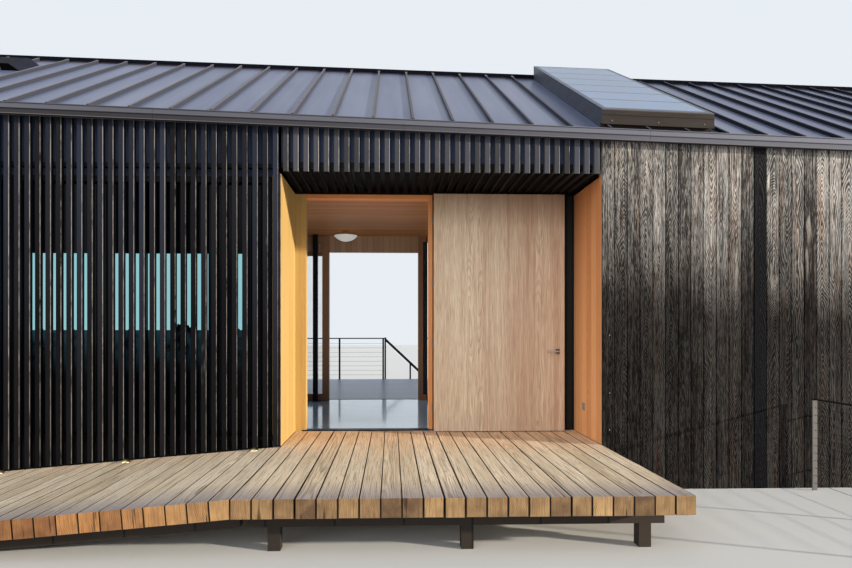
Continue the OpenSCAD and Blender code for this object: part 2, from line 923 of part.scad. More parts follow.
// The deck boards on their joists and rim
module rear_deck() {
    z1 = floor_h - deck_t;
    bay = (house_l - joist_w) / joist_bays;
    color("#a98a63") {
        block([-in_x, rear_y + glass_t + steel_w, z1], [in_x, deck_y, floor_h]);
        block([-house_l / 2, wing_y, z1], [house_l / 2, deck_y, floor_h]);
        block([-house_l / 2, deck_y - joist_w, z1 - joist_h], [house_l / 2, deck_y, z1]);
        for (i = [0 : joist_bays])
            block([-house_l / 2 + i * bay, wing_y, z1 - joist_h],
                [-house_l / 2 + i * bay + joist_w, deck_y - joist_w, z1]);
    }
}

module rear_deck_stumps() {
    z1 = floor_h - deck_t - joist_h;
    color("#5a4632")
        for (i = [0 : 2 : joist_bays])
            for (y = [wing_y + stump_in, deck_y - stump_w])
                translate([i / joist_bays * (house_l - stump_w) - house_l / 2, y, 0])
                    cube([stump_w, stump_w, z1]);
}

// A straight run of balustrade along X, or along Y when turned
module balustrade_run(l, h) {
    n = ceil(l / post_pitch);
    step = (l - post_w) / n;
    for (i = [0 : n])
        translate([i * step, -post_w / 2, 0]) cube([post_w, post_w, h - rail_t]);
    translate([0, -rail_w / 2, h - rail_t]) cube([l, rail_w, rail_t]);
    for (i = [1 : wire_n])
        translate([0, 0, i * (h - rail_t) / (wire_n + 1)])
            rotate([0, 90, 0]) cylinder(r = wire_r, h = l, $fn = 6);
}

module rear_balustrade() {
    y = deck_y - rail_w;
    x0 = -house_l / 2 + rail_w;
    x1 = house_l / 2 - rail_w;
    color("#17181b")
        translate([0, 0, floor_h]) {
            translate([x0, y, 0]) balustrade_run(stair_x - x0, rail_top);
            translate([stair_x + stair_w, y, 0]) balustrade_run(x1 - stair_x - stair_w, rail_top);
            for (x = [x0, x1])
                translate([x, wing_y + post_w, 0])
                    rotate([0, 0, 90]) balustrade_run(y - wing_y - post_w - rail_w, rail_top);
            stair_handrail(y - rail_w / 2, deck_y + stair_w, rail_top);
        }
}

// The rail turns out along the top of the stair and then slopes down its far side
module stair_handrail(y0, y1, h) {
    a = atan(hand_fall / hand_l);
    block([stair_x, y0, h - rail_t], [stair_x + rail_w, y1 + rail_w, h]);
    block([stair_x, y1, -floor_h], [stair_x + post_w, y1 + post_w, h - rail_t / 2]);
    side = (rail_w - post_w) / 4;
    plumb = hand_t / cos(a);
    top = h - rail_t / 3;
    translate([stair_x + post_w / 2, y1 + post_w + side, 0])
        rotate([90, 0, 0])
            linear_extrude(post_w + 2 * side)
                polygon([[0, top], [hand_l, top - hand_fall],
                    [hand_l, top - hand_fall - plumb], [0, top - plumb]]);
    for (x = [0.64 * hand_l, hand_l - post_w])
        block([stair_x + x, y1, -floor_h],
            [stair_x + x + post_w, y1 + post_w, top - x * tan(a) - plumb / 2]);
}

// The treads run down along the deck edge
module rear_stair() {
    riser = floor_h / stair_n;
    color("#a98a63")
        for (i = [1 : stair_n - 1])
            block([stair_x + (i - 1) * tread_d, deck_y, 0],
                [stair_x + i * tread_d, deck_y + stair_w, floor_h - i * riser]);
}

// Flat posts, a flat top rail and wires, running out from the wall
module side_fence() {
    y1 = front_y - fence_gap;
    y0 = y1 - fence_bays * fence_bay;
    n = floor((fence_h - fence_wire_pitch) / fence_wire_pitch);
    color("#2b2c2f") {
        for (i = [0 : fence_bays])
            translate([fence_x, y1 - i * fence_bay - (i == 0 ? fence_post_t : 0), 0])
                cube([fence_post_w, fence_post_t, fence_h - fence_post_t]);
        block([fence_x, y0, fence_h - fence_post_t], [fence_x + fence_post_w, y1, fence_h]);
        // spacers that hold the first post off the wall
        for (z = [fence_h / 5, fence_h * 4 / 5])
            translate([fence_x + fence_post_w / 2, front_y, z])
                rotate([90, 0, 0]) cylinder(r = fence_post_w / 4, h = fence_gap);
        for (i = [1 : n])
            translate([fence_x + fence_post_w / 2, y1, i * fence_wire_pitch])
                rotate([90, 0, 0]) cylinder(r = wire_r, h = y1 - y0, $fn = 6);
    }
}

floor_slab();
left_plinth();
left_window_frame();
left_window_glass();
left_spandrel();
left_screen();
left_reveal();
right_reveal();
canopy_battens();
canopy_box();
door_frame();
door_threshold();
entry_side_panel();
front_door();
door_furniture();
door_hinges();
right_front_wall();
left_gable_wall();
right_gable_wall();
rear_wall();
rear_window_frame();
rear_window_glass();
rear_spandrel();
sliding_door();
sliding_door_glass();
steel_posts();
ceiling();
ceiling_light();
front_roof();
rear_roof();
ridge_cap();
front_fascia();
rear_fascia();
barge_boards();
skylight_box();
skylight_glass();
roof_vent();
veranda_frame();
entry_platform();
entry_ramp();
entry_bearers();
rear_deck();
rear_deck_stumps();
rear_balustrade();
rear_stair();
side_fence();
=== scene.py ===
# %% [markdown]
# # A beach house in black boards, pale timber and ribbed metal
# The house is long and low. Black battens and charred boards cover its walls, a doorway lined
# with cedar is cut through it, and a ramp and platform of heavy sleepers lead to the door. A CAD
# model already fixes every size. This lesson loads it, leaves its shapes where they are, and
# gives each the surface, the joints and the worn edges of the real thing. X runs along the
# house, Y from the entrance side to the back, Z up, all in metres.

# %% Load the fixed frame
import math

import bpy
import numpy as np
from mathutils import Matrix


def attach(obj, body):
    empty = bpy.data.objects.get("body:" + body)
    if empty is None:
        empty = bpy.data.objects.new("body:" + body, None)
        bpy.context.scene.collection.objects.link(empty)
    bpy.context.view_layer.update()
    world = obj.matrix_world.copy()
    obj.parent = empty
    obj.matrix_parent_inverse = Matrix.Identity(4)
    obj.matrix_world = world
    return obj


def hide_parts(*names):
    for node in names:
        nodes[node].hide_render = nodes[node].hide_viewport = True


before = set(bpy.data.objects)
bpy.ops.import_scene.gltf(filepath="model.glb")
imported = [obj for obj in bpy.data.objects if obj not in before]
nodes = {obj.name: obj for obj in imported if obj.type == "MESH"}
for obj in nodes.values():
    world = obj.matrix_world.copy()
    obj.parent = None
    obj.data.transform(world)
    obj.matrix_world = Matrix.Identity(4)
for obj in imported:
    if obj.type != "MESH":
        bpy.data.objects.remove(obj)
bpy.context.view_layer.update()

# %% [markdown]
# ## The planes of the house
# A few planes return again and again: wall faces, the floor and the two roof slopes. The ridge
# is level but skewed in plan, so both eaves fall along their length.

# %% Planes and the roof height
front_y, behind_y, glass_y, door_y, back_y, rear_y, wing_y = -2.85, -2.75, -2.70, -1.98, 0.88, 1.03, 2.85
floor_z, ridge_z, roof_t = 0.45, 5.432, 0.098
entry_l, entry_r, in_x, end_x = -1.69, 1.51, 6.95, 7.10
east, up = (1, 0, 0), (0, 0, 1)
rise, fall, ramp_fall = (5.432 - 3.608) / 2.93, 0.47 / 14.2, 0.408 / 4.9


def roof(x, y, lowered=0.0):
    """Height of the roof surface: the lower of two planes that meet in the skewed ridge."""
    return ridge_z - np.abs(rise * y - fall * x) - lowered


def under_roof(x, y):
    """Height of the roof's underside, where walls and battens end."""
    return roof(x, y, roof_t)


print("eave at the middle", round(float(roof(0, -2.93)), 3))

# %% [markdown]
# ## Camera
# The photograph is a level wide view from a low eye, turned a little to the right. A tilted
# camera would find its horizon too, but let uprights lean. A lens shift keeps them upright.

# %% Camera
picture_w = 852


def show(name, data):
    """Puts a new object into the scene."""
    thing = bpy.data.objects.new(name, data)
    bpy.context.scene.collection.objects.link(thing)
    return thing


lens = bpy.data.cameras.new("camera")
camera = show("camera", lens)
camera.location = (-0.6, -8.48, 1.58)
camera.rotation_euler = (math.radians(90), 0, math.radians(-1.7))
lens.lens, lens.sensor_width, lens.clip_end = 24, 36, 200
lens.shift_x, lens.shift_y = 18 / picture_w, 48 / picture_w
bpy.context.scene.camera = camera
bpy.context.scene.view_settings.view_transform = "Standard"
print("camera at", tuple(round(v, 2) for v in camera.location))

# %% [markdown]
# ## Writing materials as sums
# A material is a small network of nodes. It reads best as a formula, so one class wraps a socket
# and turns +, -, * and / into Math nodes, and a second class adds every other kind of node.

# %% Sockets that can be added and multiplied
def sign(operation, swap=False):
    """The method behind one of Python's signs: it adds one Math node."""
    def method(self, other):
        return self.math(operation, other, self) if swap else self.math(operation, self, other)
    return method


class Value:
    """A number that changes over a surface. Python's signs add Math nodes to its material."""

    def __init__(self, finish, socket):
        self.finish, self.socket = finish, socket

    def math(self, operation, a, b=0.0):
        return self.finish.add("ShaderNodeMath", {"operation": operation}, {0: a, 1: b})

    __add__ = __radd__ = sign("ADD")
    __mul__ = __rmul__ = sign("MULTIPLY")
    __sub__, __rsub__ = sign("SUBTRACT"), sign("SUBTRACT", swap=True)
    __truediv__, __pow__ = sign("DIVIDE"), sign("POWER")

    def saw(self):
        """The part after the decimal point: 0 to 1, again and again."""
        return self.math("FRACT", self)

    def size(self):
        return self.math("ABSOLUTE", self)

    def above(self, limit):
        return self.math("GREATER_THAN", self, limit)

    def clip(self, low, high, to_low=0.0, to_high=1.0):
        """Stretches low..high to to_low..to_high and holds it there."""
        return self.finish.add("ShaderNodeMapRange", {"clamp": True},
                               {0: self, 1: low, 2: high, 3: to_low, 4: to_high})


def paint(red, green, blue):
    """A screen colour of 0 to 255 as the linear colour that Blender works in."""
    c = np.array([red, green, blue]) / 255
    return tuple(np.where(c <= 0.04045, c / 12.92, ((c + 0.055) / 1.055) ** 2.4)) + (1.0,)


def scaled(colour, share):
    """A screen colour as a linear one, at that share of its strength."""
    return tuple(np.array(paint(*colour)[:3]) * share) + (1.0,)


class Finish:
    """A material or a world, and the one method that adds nodes to it."""

    def __init__(self, name, shine=0.5, kind="materials", shader="Principled BSDF", **fixed):
        self.data = getattr(bpy.data, kind).new(name)
        self.data.use_nodes = True
        self.tree = self.data.node_tree
        self.shader = self.tree.nodes[shader]
        if kind == "materials":
            self.set(Specular_IOR_Level=shine, **fixed)

    def put(self, socket, value):
        """Links a Value to a socket, or sets a plain value on it."""
        if isinstance(value, Value):
            self.tree.links.new(value.socket, socket)
        else:
            socket.default_value = value

    def set(self, **sockets):
        """Fills sockets of the main shader; a name's _ stands for a space."""
        for name, value in sockets.items():
            self.put(self.shader.inputs[name.replace("_", " ")], value)

    def add(self, kind, settings=None, inputs=None, out=0):
        """Adds one node: its settings first, then the values or links of its sockets."""
        node = self.tree.nodes.new(kind)
        for key, value in (settings or {}).items():
            setattr(node, key, value)
        for key, value in (inputs or {}).items():
            self.put(node.inputs[key], value)
        return Value(self, node.outputs[out])

    def mix(self, share, a, b):
        """Colour a where share is 0, b where it is 1. Three numbers are a screen colour."""
        a, b = (paint(*c) if isinstance(c, tuple) and len(c) == 3 else c for c in (a, b))
        return self.add("ShaderNodeMix", {"data_type": "RGBA"}, {0: share, 6: a, 7: b}, out=2)

    def place(self, stretch=(1, 1, 1), grain=False):
        """Object coordinates, or a board's own, stretched along each axis."""
        source = (self.add("ShaderNodeAttribute", {"attribute_name": "grain"}, out=1) if grain
                  else self.add("ShaderNodeTexCoord", out=3))
        return self.add("ShaderNodeMapping", {}, {"Vector": source, "Scale": stretch})

    def split(self, vector):
        """The three numbers of a place or a direction."""
        node = self.add("ShaderNodeSeparateXYZ", {}, {0: vector}).socket.node
        return [Value(self, socket) for socket in node.outputs]

    def where(self, grain=False):
        """The place itself as three numbers, x, y, z or across, through, along a board."""
        return self.split(self.place(grain=grain))

    def noise(self, stretch, detail=2.0, rough=0.5, grain=False):
        """Soft noise from 0 to 1; stretch is one scale, or one for each axis."""
        scale, stretch = (1.0, stretch) if isinstance(stretch, tuple) else (stretch, (1, 1, 1))
        return self.add("ShaderNodeTexNoise", {}, {"Vector": self.place(stretch, grain), "Scale": scale,
                                                   "Detail": detail, "Roughness": rough})

    def grain(self, stretch, detail=2.0, rough=0.5):
        """Noise that lies inside a board and follows it."""
        return self.noise(stretch, detail, rough, grain=True)

    def facing(self):
        """The direction that the surface looks in, as three numbers from -1 to 1."""
        return self.split(self.add("ShaderNodeNewGeometry", out=1))

    def tone(self):
        """Each board's own number from 0 to 1."""
        return self.add("ShaderNodeAttribute", {"attribute_name": "tone"}, out=2)

    def bump(self, height, metres, strength=1.0):
        return self.add("ShaderNodeBump", {},
                        {"Strength": strength, "Distance": metres, "Height": height})


print("colour check", [round(v, 3) for v in paint(128, 128, 128)])

# %% [markdown]
# ## A soft room of light
# A pale floor, a bright even surround, and one warm lamp low on the right, where the evening sun
# stands in the photograph. A wide cool lamp opens the shadows on the left, one behind lights the
# floor through the rear doors, and a small one warms the ceiling. A bright world alone would wash
# out the dark boards, so it is pale only for camera, mirrors and glass.

# %% Floor, surround and lamps
surround = Finish("surround", kind="worlds", shader="Background")
bpy.context.scene.world = surround.data
seen, *others = (surround.add("ShaderNodeLightPath", out=f"Is {kind} Ray")
                 for kind in ("Camera", "Transmission", "Glossy"))
for other in others:
    seen = seen.math("MAXIMUM", seen, other)
surround.set(Color=surround.mix(seen, (0.32, 0.36, 0.44, 1), (232, 238, 244)))


def sun(name, toward, energy, colour, degrees):
    """A far lamp that stands in the direction toward, as wide as degrees in the sky."""
    lamp = show(name, bpy.data.lights.new(name, "SUN"))
    toward = np.asarray(toward, float) / np.linalg.norm(toward)
    lamp.rotation_euler = (math.acos(toward[2]), 0, math.atan2(toward[1], toward[0]) + math.pi / 2)
    lamp.data.energy, lamp.data.color, lamp.data.angle = energy, colour, math.radians(degrees)
    return lamp


sun("key_lamp", (2.9, -1.0, 0.76), 5.4, (1.0, 0.90, 0.74), 1.6)
sun("fill_lamp", (-0.9, -1.0, 0.60), 1.7, (0.96, 0.98, 1.0), 60)
sun("back_lamp", (-0.5, 1.0, 0.60), 1.0, (0.90, 0.95, 1.0), 40).visible_glossy = False
room_lamp = show("room_lamp", bpy.data.lights.new("room_lamp", "AREA"))
room_lamp.location, room_lamp.rotation_euler = (-0.9, -1.15, 0.60), (math.pi, 0, 0)
room_lamp.data.size, room_lamp.data.energy, room_lamp.data.color = 1.5, 14, (1.0, 0.93, 0.84)
room_lamp.visible_camera = room_lamp.visible_glossy = room_lamp.visible_transmission = False

floor_mesh = bpy.data.meshes.new("studio_floor")
floor_mesh.from_pydata([(-60, -60, 0), (60, -60, 0), (60, 60, 0), (-60, 60, 0)], [], [(0, 1, 2, 3)])
studio_floor = show("studio_floor", floor_mesh)
f = Finish("studio_floor", Roughness=0.9)
f.set(Base_Color=f.mix(f.noise(0.8, 3), (205, 205, 203), (212, 212, 210)))
floor_mesh.materials.append(f.data)
print("lamps", len(bpy.data.lights))

# %% [markdown]
# ## Boards, bars and battens, many at once
# Most of this house is sawn timber: long bars with slightly rounded arrises. A cube with a Bevel
# for each would be slow in hundreds, so they are made as one array: a rounded rectangle is carried
# along each bar and drawn in at both ends. Each point remembers its place in its bar, for the grain.

# %% Bars with rounded arrises
chance = np.random.default_rng(7)


def rows(*columns):
    """Points or directions as rows; a plain number fills its whole column."""
    return np.column_stack(np.broadcast_arrays(*columns))


def flat(z):
    """A level line, as a function of x and y."""
    return lambda x, y: np.full_like(x, z)


def tubes(points, m, k, tone=0.5, grain=None):
    """Closed tubes of m outlines with k points each: a quad joins points i and i + 1 of one
    outline to those of the next, and one cap closes each end."""
    points = points.reshape(-1, 3)
    ring, first = np.arange(k), np.arange(0, len(points), m * k)[:, None]
    quad = np.stack([ring, (ring + 1) % k, (ring + 1) % k + k, ring + k], axis=1)
    sides = first[:, :, None, None] + np.arange(m - 1)[:, None, None] * k + quad
    caps = np.concatenate([first + ring[::-1], first + (m - 1) * k + ring])
    return {"points": points, "faces": [sides.reshape(-1, 4), caps],
            "grain": points if grain is None else grain.reshape(-1, 3),
            "tone": np.repeat(tone, len(points) // np.size(tone))}


def bars(start, run, side, width, depth, edge=0.003, corner=1, heights=None, seed=None,
         cut=(0.25, 0.12)):
    """n bars, each from its start along its run. Profile point = centre + side * u + normal * v,
    where (u, v) runs round a rectangle whose corners are arcs of radius edge. Stations stand
    at 0, edge, length - edge and length; the outer two are drawn in by edge. heights are the
    bottom and top of upright bars as functions of x and y; cut is how far from the heart of
    the log a board may lie, across and through."""
    start = np.atleast_2d(np.asarray(start, float))
    n = len(start)
    rng = chance if seed is None else np.random.default_rng(seed)
    run, side = (np.broadcast_to(np.asarray(v, float), (n, 3)) for v in (run, side))
    width, depth = (np.broadcast_to(np.asarray(v, float), n)[:, None, None] for v in (width, depth))
    length = np.linalg.norm(run, axis=1)[:, None]
    along = run / length
    side = side - along * np.sum(side * along, axis=1)[:, None]
    side = side / np.linalg.norm(side, axis=1)[:, None]
    normal = np.cross(along, side)
    turn = np.linspace(0, math.pi / 2, corner + 1)
    angle = np.concatenate([turn + q * math.pi / 2 for q in range(4)])
    k = len(angle)
    su, sv = (np.repeat(signs, corner + 1) for signs in ([1, -1, -1, 1], [1, 1, -1, -1]))
    grow = np.array([-edge, 0, 0, -edge])[None, :, None]
    inner, arc = edge - grow * 0.6, edge + grow * 0.4
    u = su * (width / 2 - inner) + arc * np.cos(angle)
    v = sv * (depth / 2 - inner) + arc * np.sin(angle)
    stations = np.concatenate([0 * length, 0 * length + edge, length - edge, length], axis=1)
    points = (start[:, None, None, :] + along[:, None, None, :] * stations[:, :, None, None]
              + side[:, None, None, :] * u[..., None] + normal[:, None, None, :] * v[..., None])
    grain = np.stack([u, v, np.broadcast_to(stations[:, :, None], u.shape)], axis=-1)
    if heights is not None:
        for s, end, inset in ((0, 0, 0), (1, 0, edge), (2, 1, -edge), (3, 1, 0)):
            points[:, s, :, 2] = heights[end](points[:, s, :, 0], points[:, s, :, 1]) + inset
        grain[..., 2] = points[..., 2]
    shift = rng.uniform(-1, 1, (n, 1, 1, 3)) * np.array([cut[0], cut[1], 40.0])
    grain = grain + shift * np.minimum(1, 8 * width[..., None])
    return tubes(points, 4, k, rng.uniform(0, 1, n), grain)


# %% [markdown]
# ## Blocks, mouldings and turned parts
# The core of a wall is a block whose top follows the roof: a lower and an upper outline, joined
# by side faces and closed by two caps. Mouldings and turned parts are the same again: an outline
# carried along a line, or a circle that grows and shrinks on an axis.

# %% Blocks, mouldings and turned parts
def box(low, high, under=None):
    """A block; its top is level, or under gives its height as a function of x and y."""
    (x0, y0, z0), (x1, y1, z1) = low, high
    plan = [[x0, y0], [x1, y0], [x1, y1], [x0, y1]]
    if under is not None:
        # a wall that the ridge line crosses gets two more corners
        r0, r1 = x0 * fall / rise, x1 * fall / rise
        if y0 < min(r0, r1) and y1 > max(r0, r1):
            plan = [[x0, y0], [x1, y0], [x1, r1], [x1, y1], [x0, y1], [x0, r0]]
    x, y = np.array(plan, float).T
    top = under(x, y) if under is not None else z1
    return tubes(np.concatenate([rows(x, y, z0), rows(x, y, top)]), 2, len(plan))


def coat(part, index):
    """Gives a part the material of that number in its piece."""
    return dict(part, material=index)


def mouldings(start, end, out, profile):
    """n lengths of one moulding. Point j = start or end + out * profile[j, 0] + up * profile[j, 1];
    the profile runs along the top outwards, down the face and back in along the bottom."""
    profile = np.asarray(profile, float)
    off = profile[:, :1] * np.asarray(out, float) + profile[:, 1:] * np.asarray(up, float)
    points = np.stack([start, end], axis=1)[:, :, None, :] + off
    return tubes(points, 2, len(profile), np.linspace(0, 1, len(start)))


def turned(centres, axis, profile, steps=20):
    """Turned parts: point = centre + axis * height + radius * (cos a, sin a) in the plane across
    the axis, for each (radius, height) of the profile and each angle a. Two caps close it."""
    centres, axis, profile = (np.asarray(v, float) for v in (np.atleast_2d(centres), axis, profile))
    one = np.cross(axis, up if abs(axis[2]) < 0.9 else (0, 1, 0))
    one = one / np.linalg.norm(one)
    a = np.arange(steps)[:, None] * 2 * math.pi / steps
    circle = np.cos(a) * one + np.sin(a) * np.cross(axis, one)
    shape = profile[:, None, 1:] * axis + profile[:, None, :1] * circle
    return tubes(centres[:, None, None, :] + shape, len(profile), steps)


# %% [markdown]
# ## Turning arrays into a piece
# Points, faces and the two facts for the grain go into one mesh as whole arrays, which is far
# quicker than a call for each point. Every piece rides on a body of the model, and may stand for
# a CAD node, which is then not shown.

# %% From arrays to an object
def piece(name, parts, finishes, stands_for=None, body="house", smooth=False):
    """Joins parts end to end: each part's face numbers are raised by the points before it."""
    mesh = bpy.data.meshes.new(name)
    points, grain, tone = (np.concatenate([p[key] for p in parts]) for key in ("points", "grain", "tone"))
    first = np.cumsum([0] + [len(p["points"]) for p in parts])
    faces = [(f + s, p.get("material", 0)) for p, s in zip(parts, first) for f in p["faces"]]
    corners = np.concatenate([f.ravel() for f, m in faces])
    sizes = np.concatenate([np.full(len(f), f.shape[1]) for f, m in faces])

    def fill(data, key, values, kind):
        data.foreach_set(key, values.astype(kind).ravel())

    mesh.vertices.add(len(points))
    fill(mesh.vertices, "co", points, np.float32)
    mesh.loops.add(len(corners))
    fill(mesh.loops, "vertex_index", corners, np.int32)
    mesh.polygons.add(len(sizes))
    fill(mesh.polygons, "loop_start", np.concatenate([[0], np.cumsum(sizes)[:-1]]), np.int32)
    fill(mesh.polygons, "material_index", np.concatenate([np.full(len(f), m) for f, m in faces]), np.int32)
    fill(mesh.polygons, "use_smooth", np.full(len(sizes), smooth), bool)
    mesh.update(calc_edges=True)
    fill(mesh.attributes.new("grain", "FLOAT_VECTOR", "POINT").data, "vector", grain, np.float32)
    fill(mesh.attributes.new("tone", "FLOAT", "POINT").data, "value", tone, np.float32)
    for finish in finishes:
        mesh.materials.append(finish.data)
    thing = show(name, mesh)
    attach(thing, body)
    if stands_for:
        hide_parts(stands_for)
    print(name, "points", len(points), "faces", len(sizes))


def dress(finish, *names):
    """Gives CAD nodes a finer material; their shapes stay as they are."""
    for name in names:
        materials = nodes[name].data.materials
        materials.clear()
        materials.append(finish.data)


# %% [markdown]
# ## Wood grain from growth rings
# A tree is a stack of cylinders, one a year, and a board is a slice of it. Its face shows arches
# where the slice runs nearly along a cylinder. Stretched noise gives no arches, so the grain here
# is that very thing: distance from the pith, with a slow wander.

# %% Growth rings
def rings(f, spacing, pith, wander, stretch):
    """radius = root of across squared plus (through + pith + slow noise) squared; the result is
    the part after the decimal point of radius / spacing, roughened by a little noise."""
    across, through, along = f.where(grain=True)
    slow = f.grain((2.5, 2.5, stretch), 1.5)
    depth = through + pith + (slow - 0.5) * (2 * wander)
    radius = (across * across + depth * depth) ** 0.5
    return (radius / spacing + f.grain((14, 14, 2.5)) * 0.35).saw()


def fibre(f, fine=260, long=5):
    """Short streaks that run along the board."""
    return f.grain((fine, fine, long), 3, 0.6)


# %% [markdown]
# ## Charred boards
# The boards on the right are burnt and then scrubbed with a wire brush. The summer wood is burnt
# away and black, and the hard rings stand out as silver-brown arches. High on the wall the boards
# are paler and more silver; near the ground they are brown-black. Rare bright dashes are painted
# glints, where the char catches the light. No two took the fire alike. All of it adds up to one
# share of silver, which is easier to balance than layers of paint.

# %% Charred boards
def arches(f):
    """rings = root of (across squared + a little) * 60 + along * the board's own lean + slow
    noise. A board that leans out of the log shows a row of pointed arches, up or down."""
    across, through, along = f.where(grain=True)
    slow, shake = f.grain((3, 3, 1.3)), f.grain((22, 22, 6))
    lean = ((f.tone() * 7.3).saw() - 0.42) * 34
    aside = (across * across + 0.00010) ** 0.5
    return (aside * 60 + along * lean + (slow - 0.5) * 14 + shake * 1.2).saw()


f = charred = Finish("charred_boards", 0.04)
ring = arches(f)
arch = ring.clip(0.04, 0.25) * (1 - ring.clip(0.40, 0.60))
arch = arch * (f.tone() * 3.7).saw().clip(0.25, 0.75, 0.25, 1.0)
band = f.grain((24, 24, 0.8)).clip(0.40, 0.60)
streak = f.grain((80, 80, 1.6), 3, 0.6).clip(0.38, 0.62)
fine = fibre(f, 200, 10)
speck = f.grain((85, 85, 16)).clip(0.42, 0.58)
soot = f.grain((7, 7, 1.6), 3).clip(0.50, 0.66)
# painted highlight: rare bright dashes are glints where the char catches the light, near white high on the
# wall
glint = f.grain((11, 11, 1.9)).clip(0.69, 0.78)
patch = f.noise((1.3, 1.3, 0.9), 3)
x, y, z = f.where()
high = (z + (patch - 0.5) * 0.6 + (f.tone() - 0.5) * 0.3).clip(1.75, 3.15)
pale = (arch * 0.54 + streak * 0.32 + (fine - 0.5) * 1.1 + speck * 0.26 + band * 0.10 + f.tone() * 0.24
        - soot * 0.20 - 0.26 + glint * 0.5).clip(0, 1)
tint = f.grain((16, 16, 1.2))
silver = f.mix(tint.clip(0.40, 0.52), (190, 187, 181), (218, 208, 198))
silver = f.mix(tint.clip(0.58, 0.68), silver, (206, 182, 166))
ember = f.mix(tint.clip(0.56, 0.68) * (1 - glint), (72, 68, 64), (72, 58, 50))
top = f.mix(glint * 0.7, f.mix(pale, (56, 53, 51), silver), (214, 202, 186))
burnt = f.mix(high, f.mix(pale, (13, 12, 12), ember), top)
# a tone far below 0 marks a board that is still all soot
burnt = f.mix((1 - f.tone().above(-1)) * 0.85, burnt, (14, 15, 19))
relief = arch * 0.6 + fine * 0.5 + speck * 0.5 + streak * 0.3
f.set(Base_Color=burnt, Roughness=arch * -0.15 + 0.78, Normal=f.bump(relief, 0.0030, 0.8))
print("charred nodes", len(f.tree.nodes))

# %% [markdown]
# ## Charred walls
# Each wall is a core, felt outside and plaster inside, under a skin of upright boards with open
# joints. Joints drawn on a flat sheet would look printed, so every board is a bar of its own.

# %% Charred walls
board_t, board_gap = 0.02, 0.008
skin = board_t + 0.005
f = plaster = Finish("wall_lining", 0.2, Roughness=0.85)
x, y, z = f.where()
nx, ny, nz = f.facing()
outside = (x * nx).above(7.0) + ((y + 0.905) * ny).above(1.84) + y.above(1.035)
lining = f.mix(f.noise(6, 4), (196, 190, 180), (206, 201, 192))
felt = f.mix(f.noise(40, 3), (10, 10, 11), (18, 18, 19))
f.set(Base_Color=f.mix(outside, lining, felt), Normal=f.bump(f.noise(90, 3), 0.0006, 0.3))


def speckled(name, dark, light, **fixed):
    """Small metal heads, finely specked."""
    f = Finish(name, **fixed)
    f.set(Base_Color=f.mix(f.noise(300), dark, light))
    return f


def boards(a, b, outward, n, thick, bottom, top, gap, sunk=0.0, **more):
    """n upright boards side by side; their outer faces lie on the line from a to b in plan, or
    sunk behind it."""
    a, b, outward = (np.asarray(v, float) for v in (a, b, outward))
    at = a + (b - a) * ((np.arange(n) + 0.5) / n)[:, None] - outward * (thick / 2 + sunk)
    length = np.linalg.norm(b - a)
    return bars(rows(*at.T, bottom), (0, 0, top - bottom), np.append((b - a) / length, 0),
                length / n - gap, thick, **more)


def wall_boards(a, b, bottom, seed, pitch=0.1295, tops=under_roof):
    """Charred boards from a to b in plan, with the house on the left hand."""
    length = math.dist(a, b)
    n = max(1, round(length / pitch))
    sunk = np.random.default_rng(seed + 100).uniform(0, 0.0025, n)[:, None]
    outward = ((b[1] - a[1]) / length, (a[0] - b[0]) / length)
    return boards(a, b, outward, n, board_t, bottom, 3.0, board_gap, sunk, seed=seed,
                  heights=(flat(bottom), tops), cut=(0.03, 0.04))


def core(x0, y0, z0, x1, y1, z1=3, under=under_roof):
    """The plain block inside a wall."""
    return coat(box((x0, y0, z0), (x1, y1, z1), under), 1)


nails = rows(1.589, front_y + 0.0025, [0.60, 0.969, 1.55, 2.121, 2.70])
nail_steel = speckled("nail_heads", (190, 188, 182), (225, 223, 218), Metallic=0.8, Roughness=0.4)
entrance_wall = wall_boards((1.5112, front_y), (in_x, front_y), 0.0, 11)
# one board came out of the fire almost black
entrance_wall["tone"][np.abs(entrance_wall["points"][:, 0] - 3.130) < 0.064] = -1.4
piece("charred_front_boards",
      [entrance_wall, core(1.536, front_y + skin, 0, in_x, glass_y),
       coat(turned(nails, (0, -1, 0), [(0.0055, 0), (0.0055, 0.001), (0.004, 0.0022)], 10), 2)],
      [charred, plaster, nail_steel], "right_front_wall")
piece("charred_right_gable",
      [wall_boards((end_x, front_y), (end_x, wing_y), 0.0, 12),
       wall_boards((in_x, front_y), (end_x - board_t, front_y), 0.0, 13, 0.13),
       wall_boards((end_x - board_t, wing_y), (in_x, wing_y), 0.0, 14, 0.13),
       wall_boards((in_x, wing_y - board_t), (in_x, rear_y), floor_z, 71),
       core(in_x, front_y + skin, 0, end_x - skin, rear_y),
       core(in_x + skin, rear_y, 0, end_x - skin, wing_y - skin)],
      [charred, plaster], "right_gable_wall")
piece("charred_left_gable",
      [wall_boards((-end_x, wing_y), (-end_x, behind_y), 0.0, 15),
       wall_boards((-in_x, wing_y), (board_t - end_x, wing_y), 0.0, 16, 0.13),
       wall_boards((-in_x, rear_y), (-in_x, wing_y - board_t), floor_z, 72),
       core(skin - end_x, behind_y, 0, -in_x, rear_y),
       core(skin - end_x, rear_y, 0, -in_x - skin, wing_y - skin)],
      [charred, plaster], "left_gable_wall")
door_l, win_l, win_r, win_b, win_t = 0.05, 2.30, 4.70, 1.05, 2.902
piece("charred_rear_wall",
      [wall_boards((in_x, rear_y), (win_r, rear_y), floor_z, 17),
       wall_boards((win_l, rear_y), (door_l, rear_y), floor_z, 18),
       wall_boards((win_r, rear_y), (win_l, rear_y), floor_z, 19, tops=flat(win_b)),
       wall_boards((win_r, rear_y), (win_l, rear_y), win_t, 20),
       core(win_r, back_y, floor_z, in_x, rear_y - skin),
       core(door_l, back_y, floor_z, win_l, rear_y - skin),
       core(win_l, back_y, floor_z, win_r, rear_y - skin, win_b, None),
       core(win_l, back_y, win_t, win_r, rear_y - skin)],
      [charred, plaster], "rear_wall")
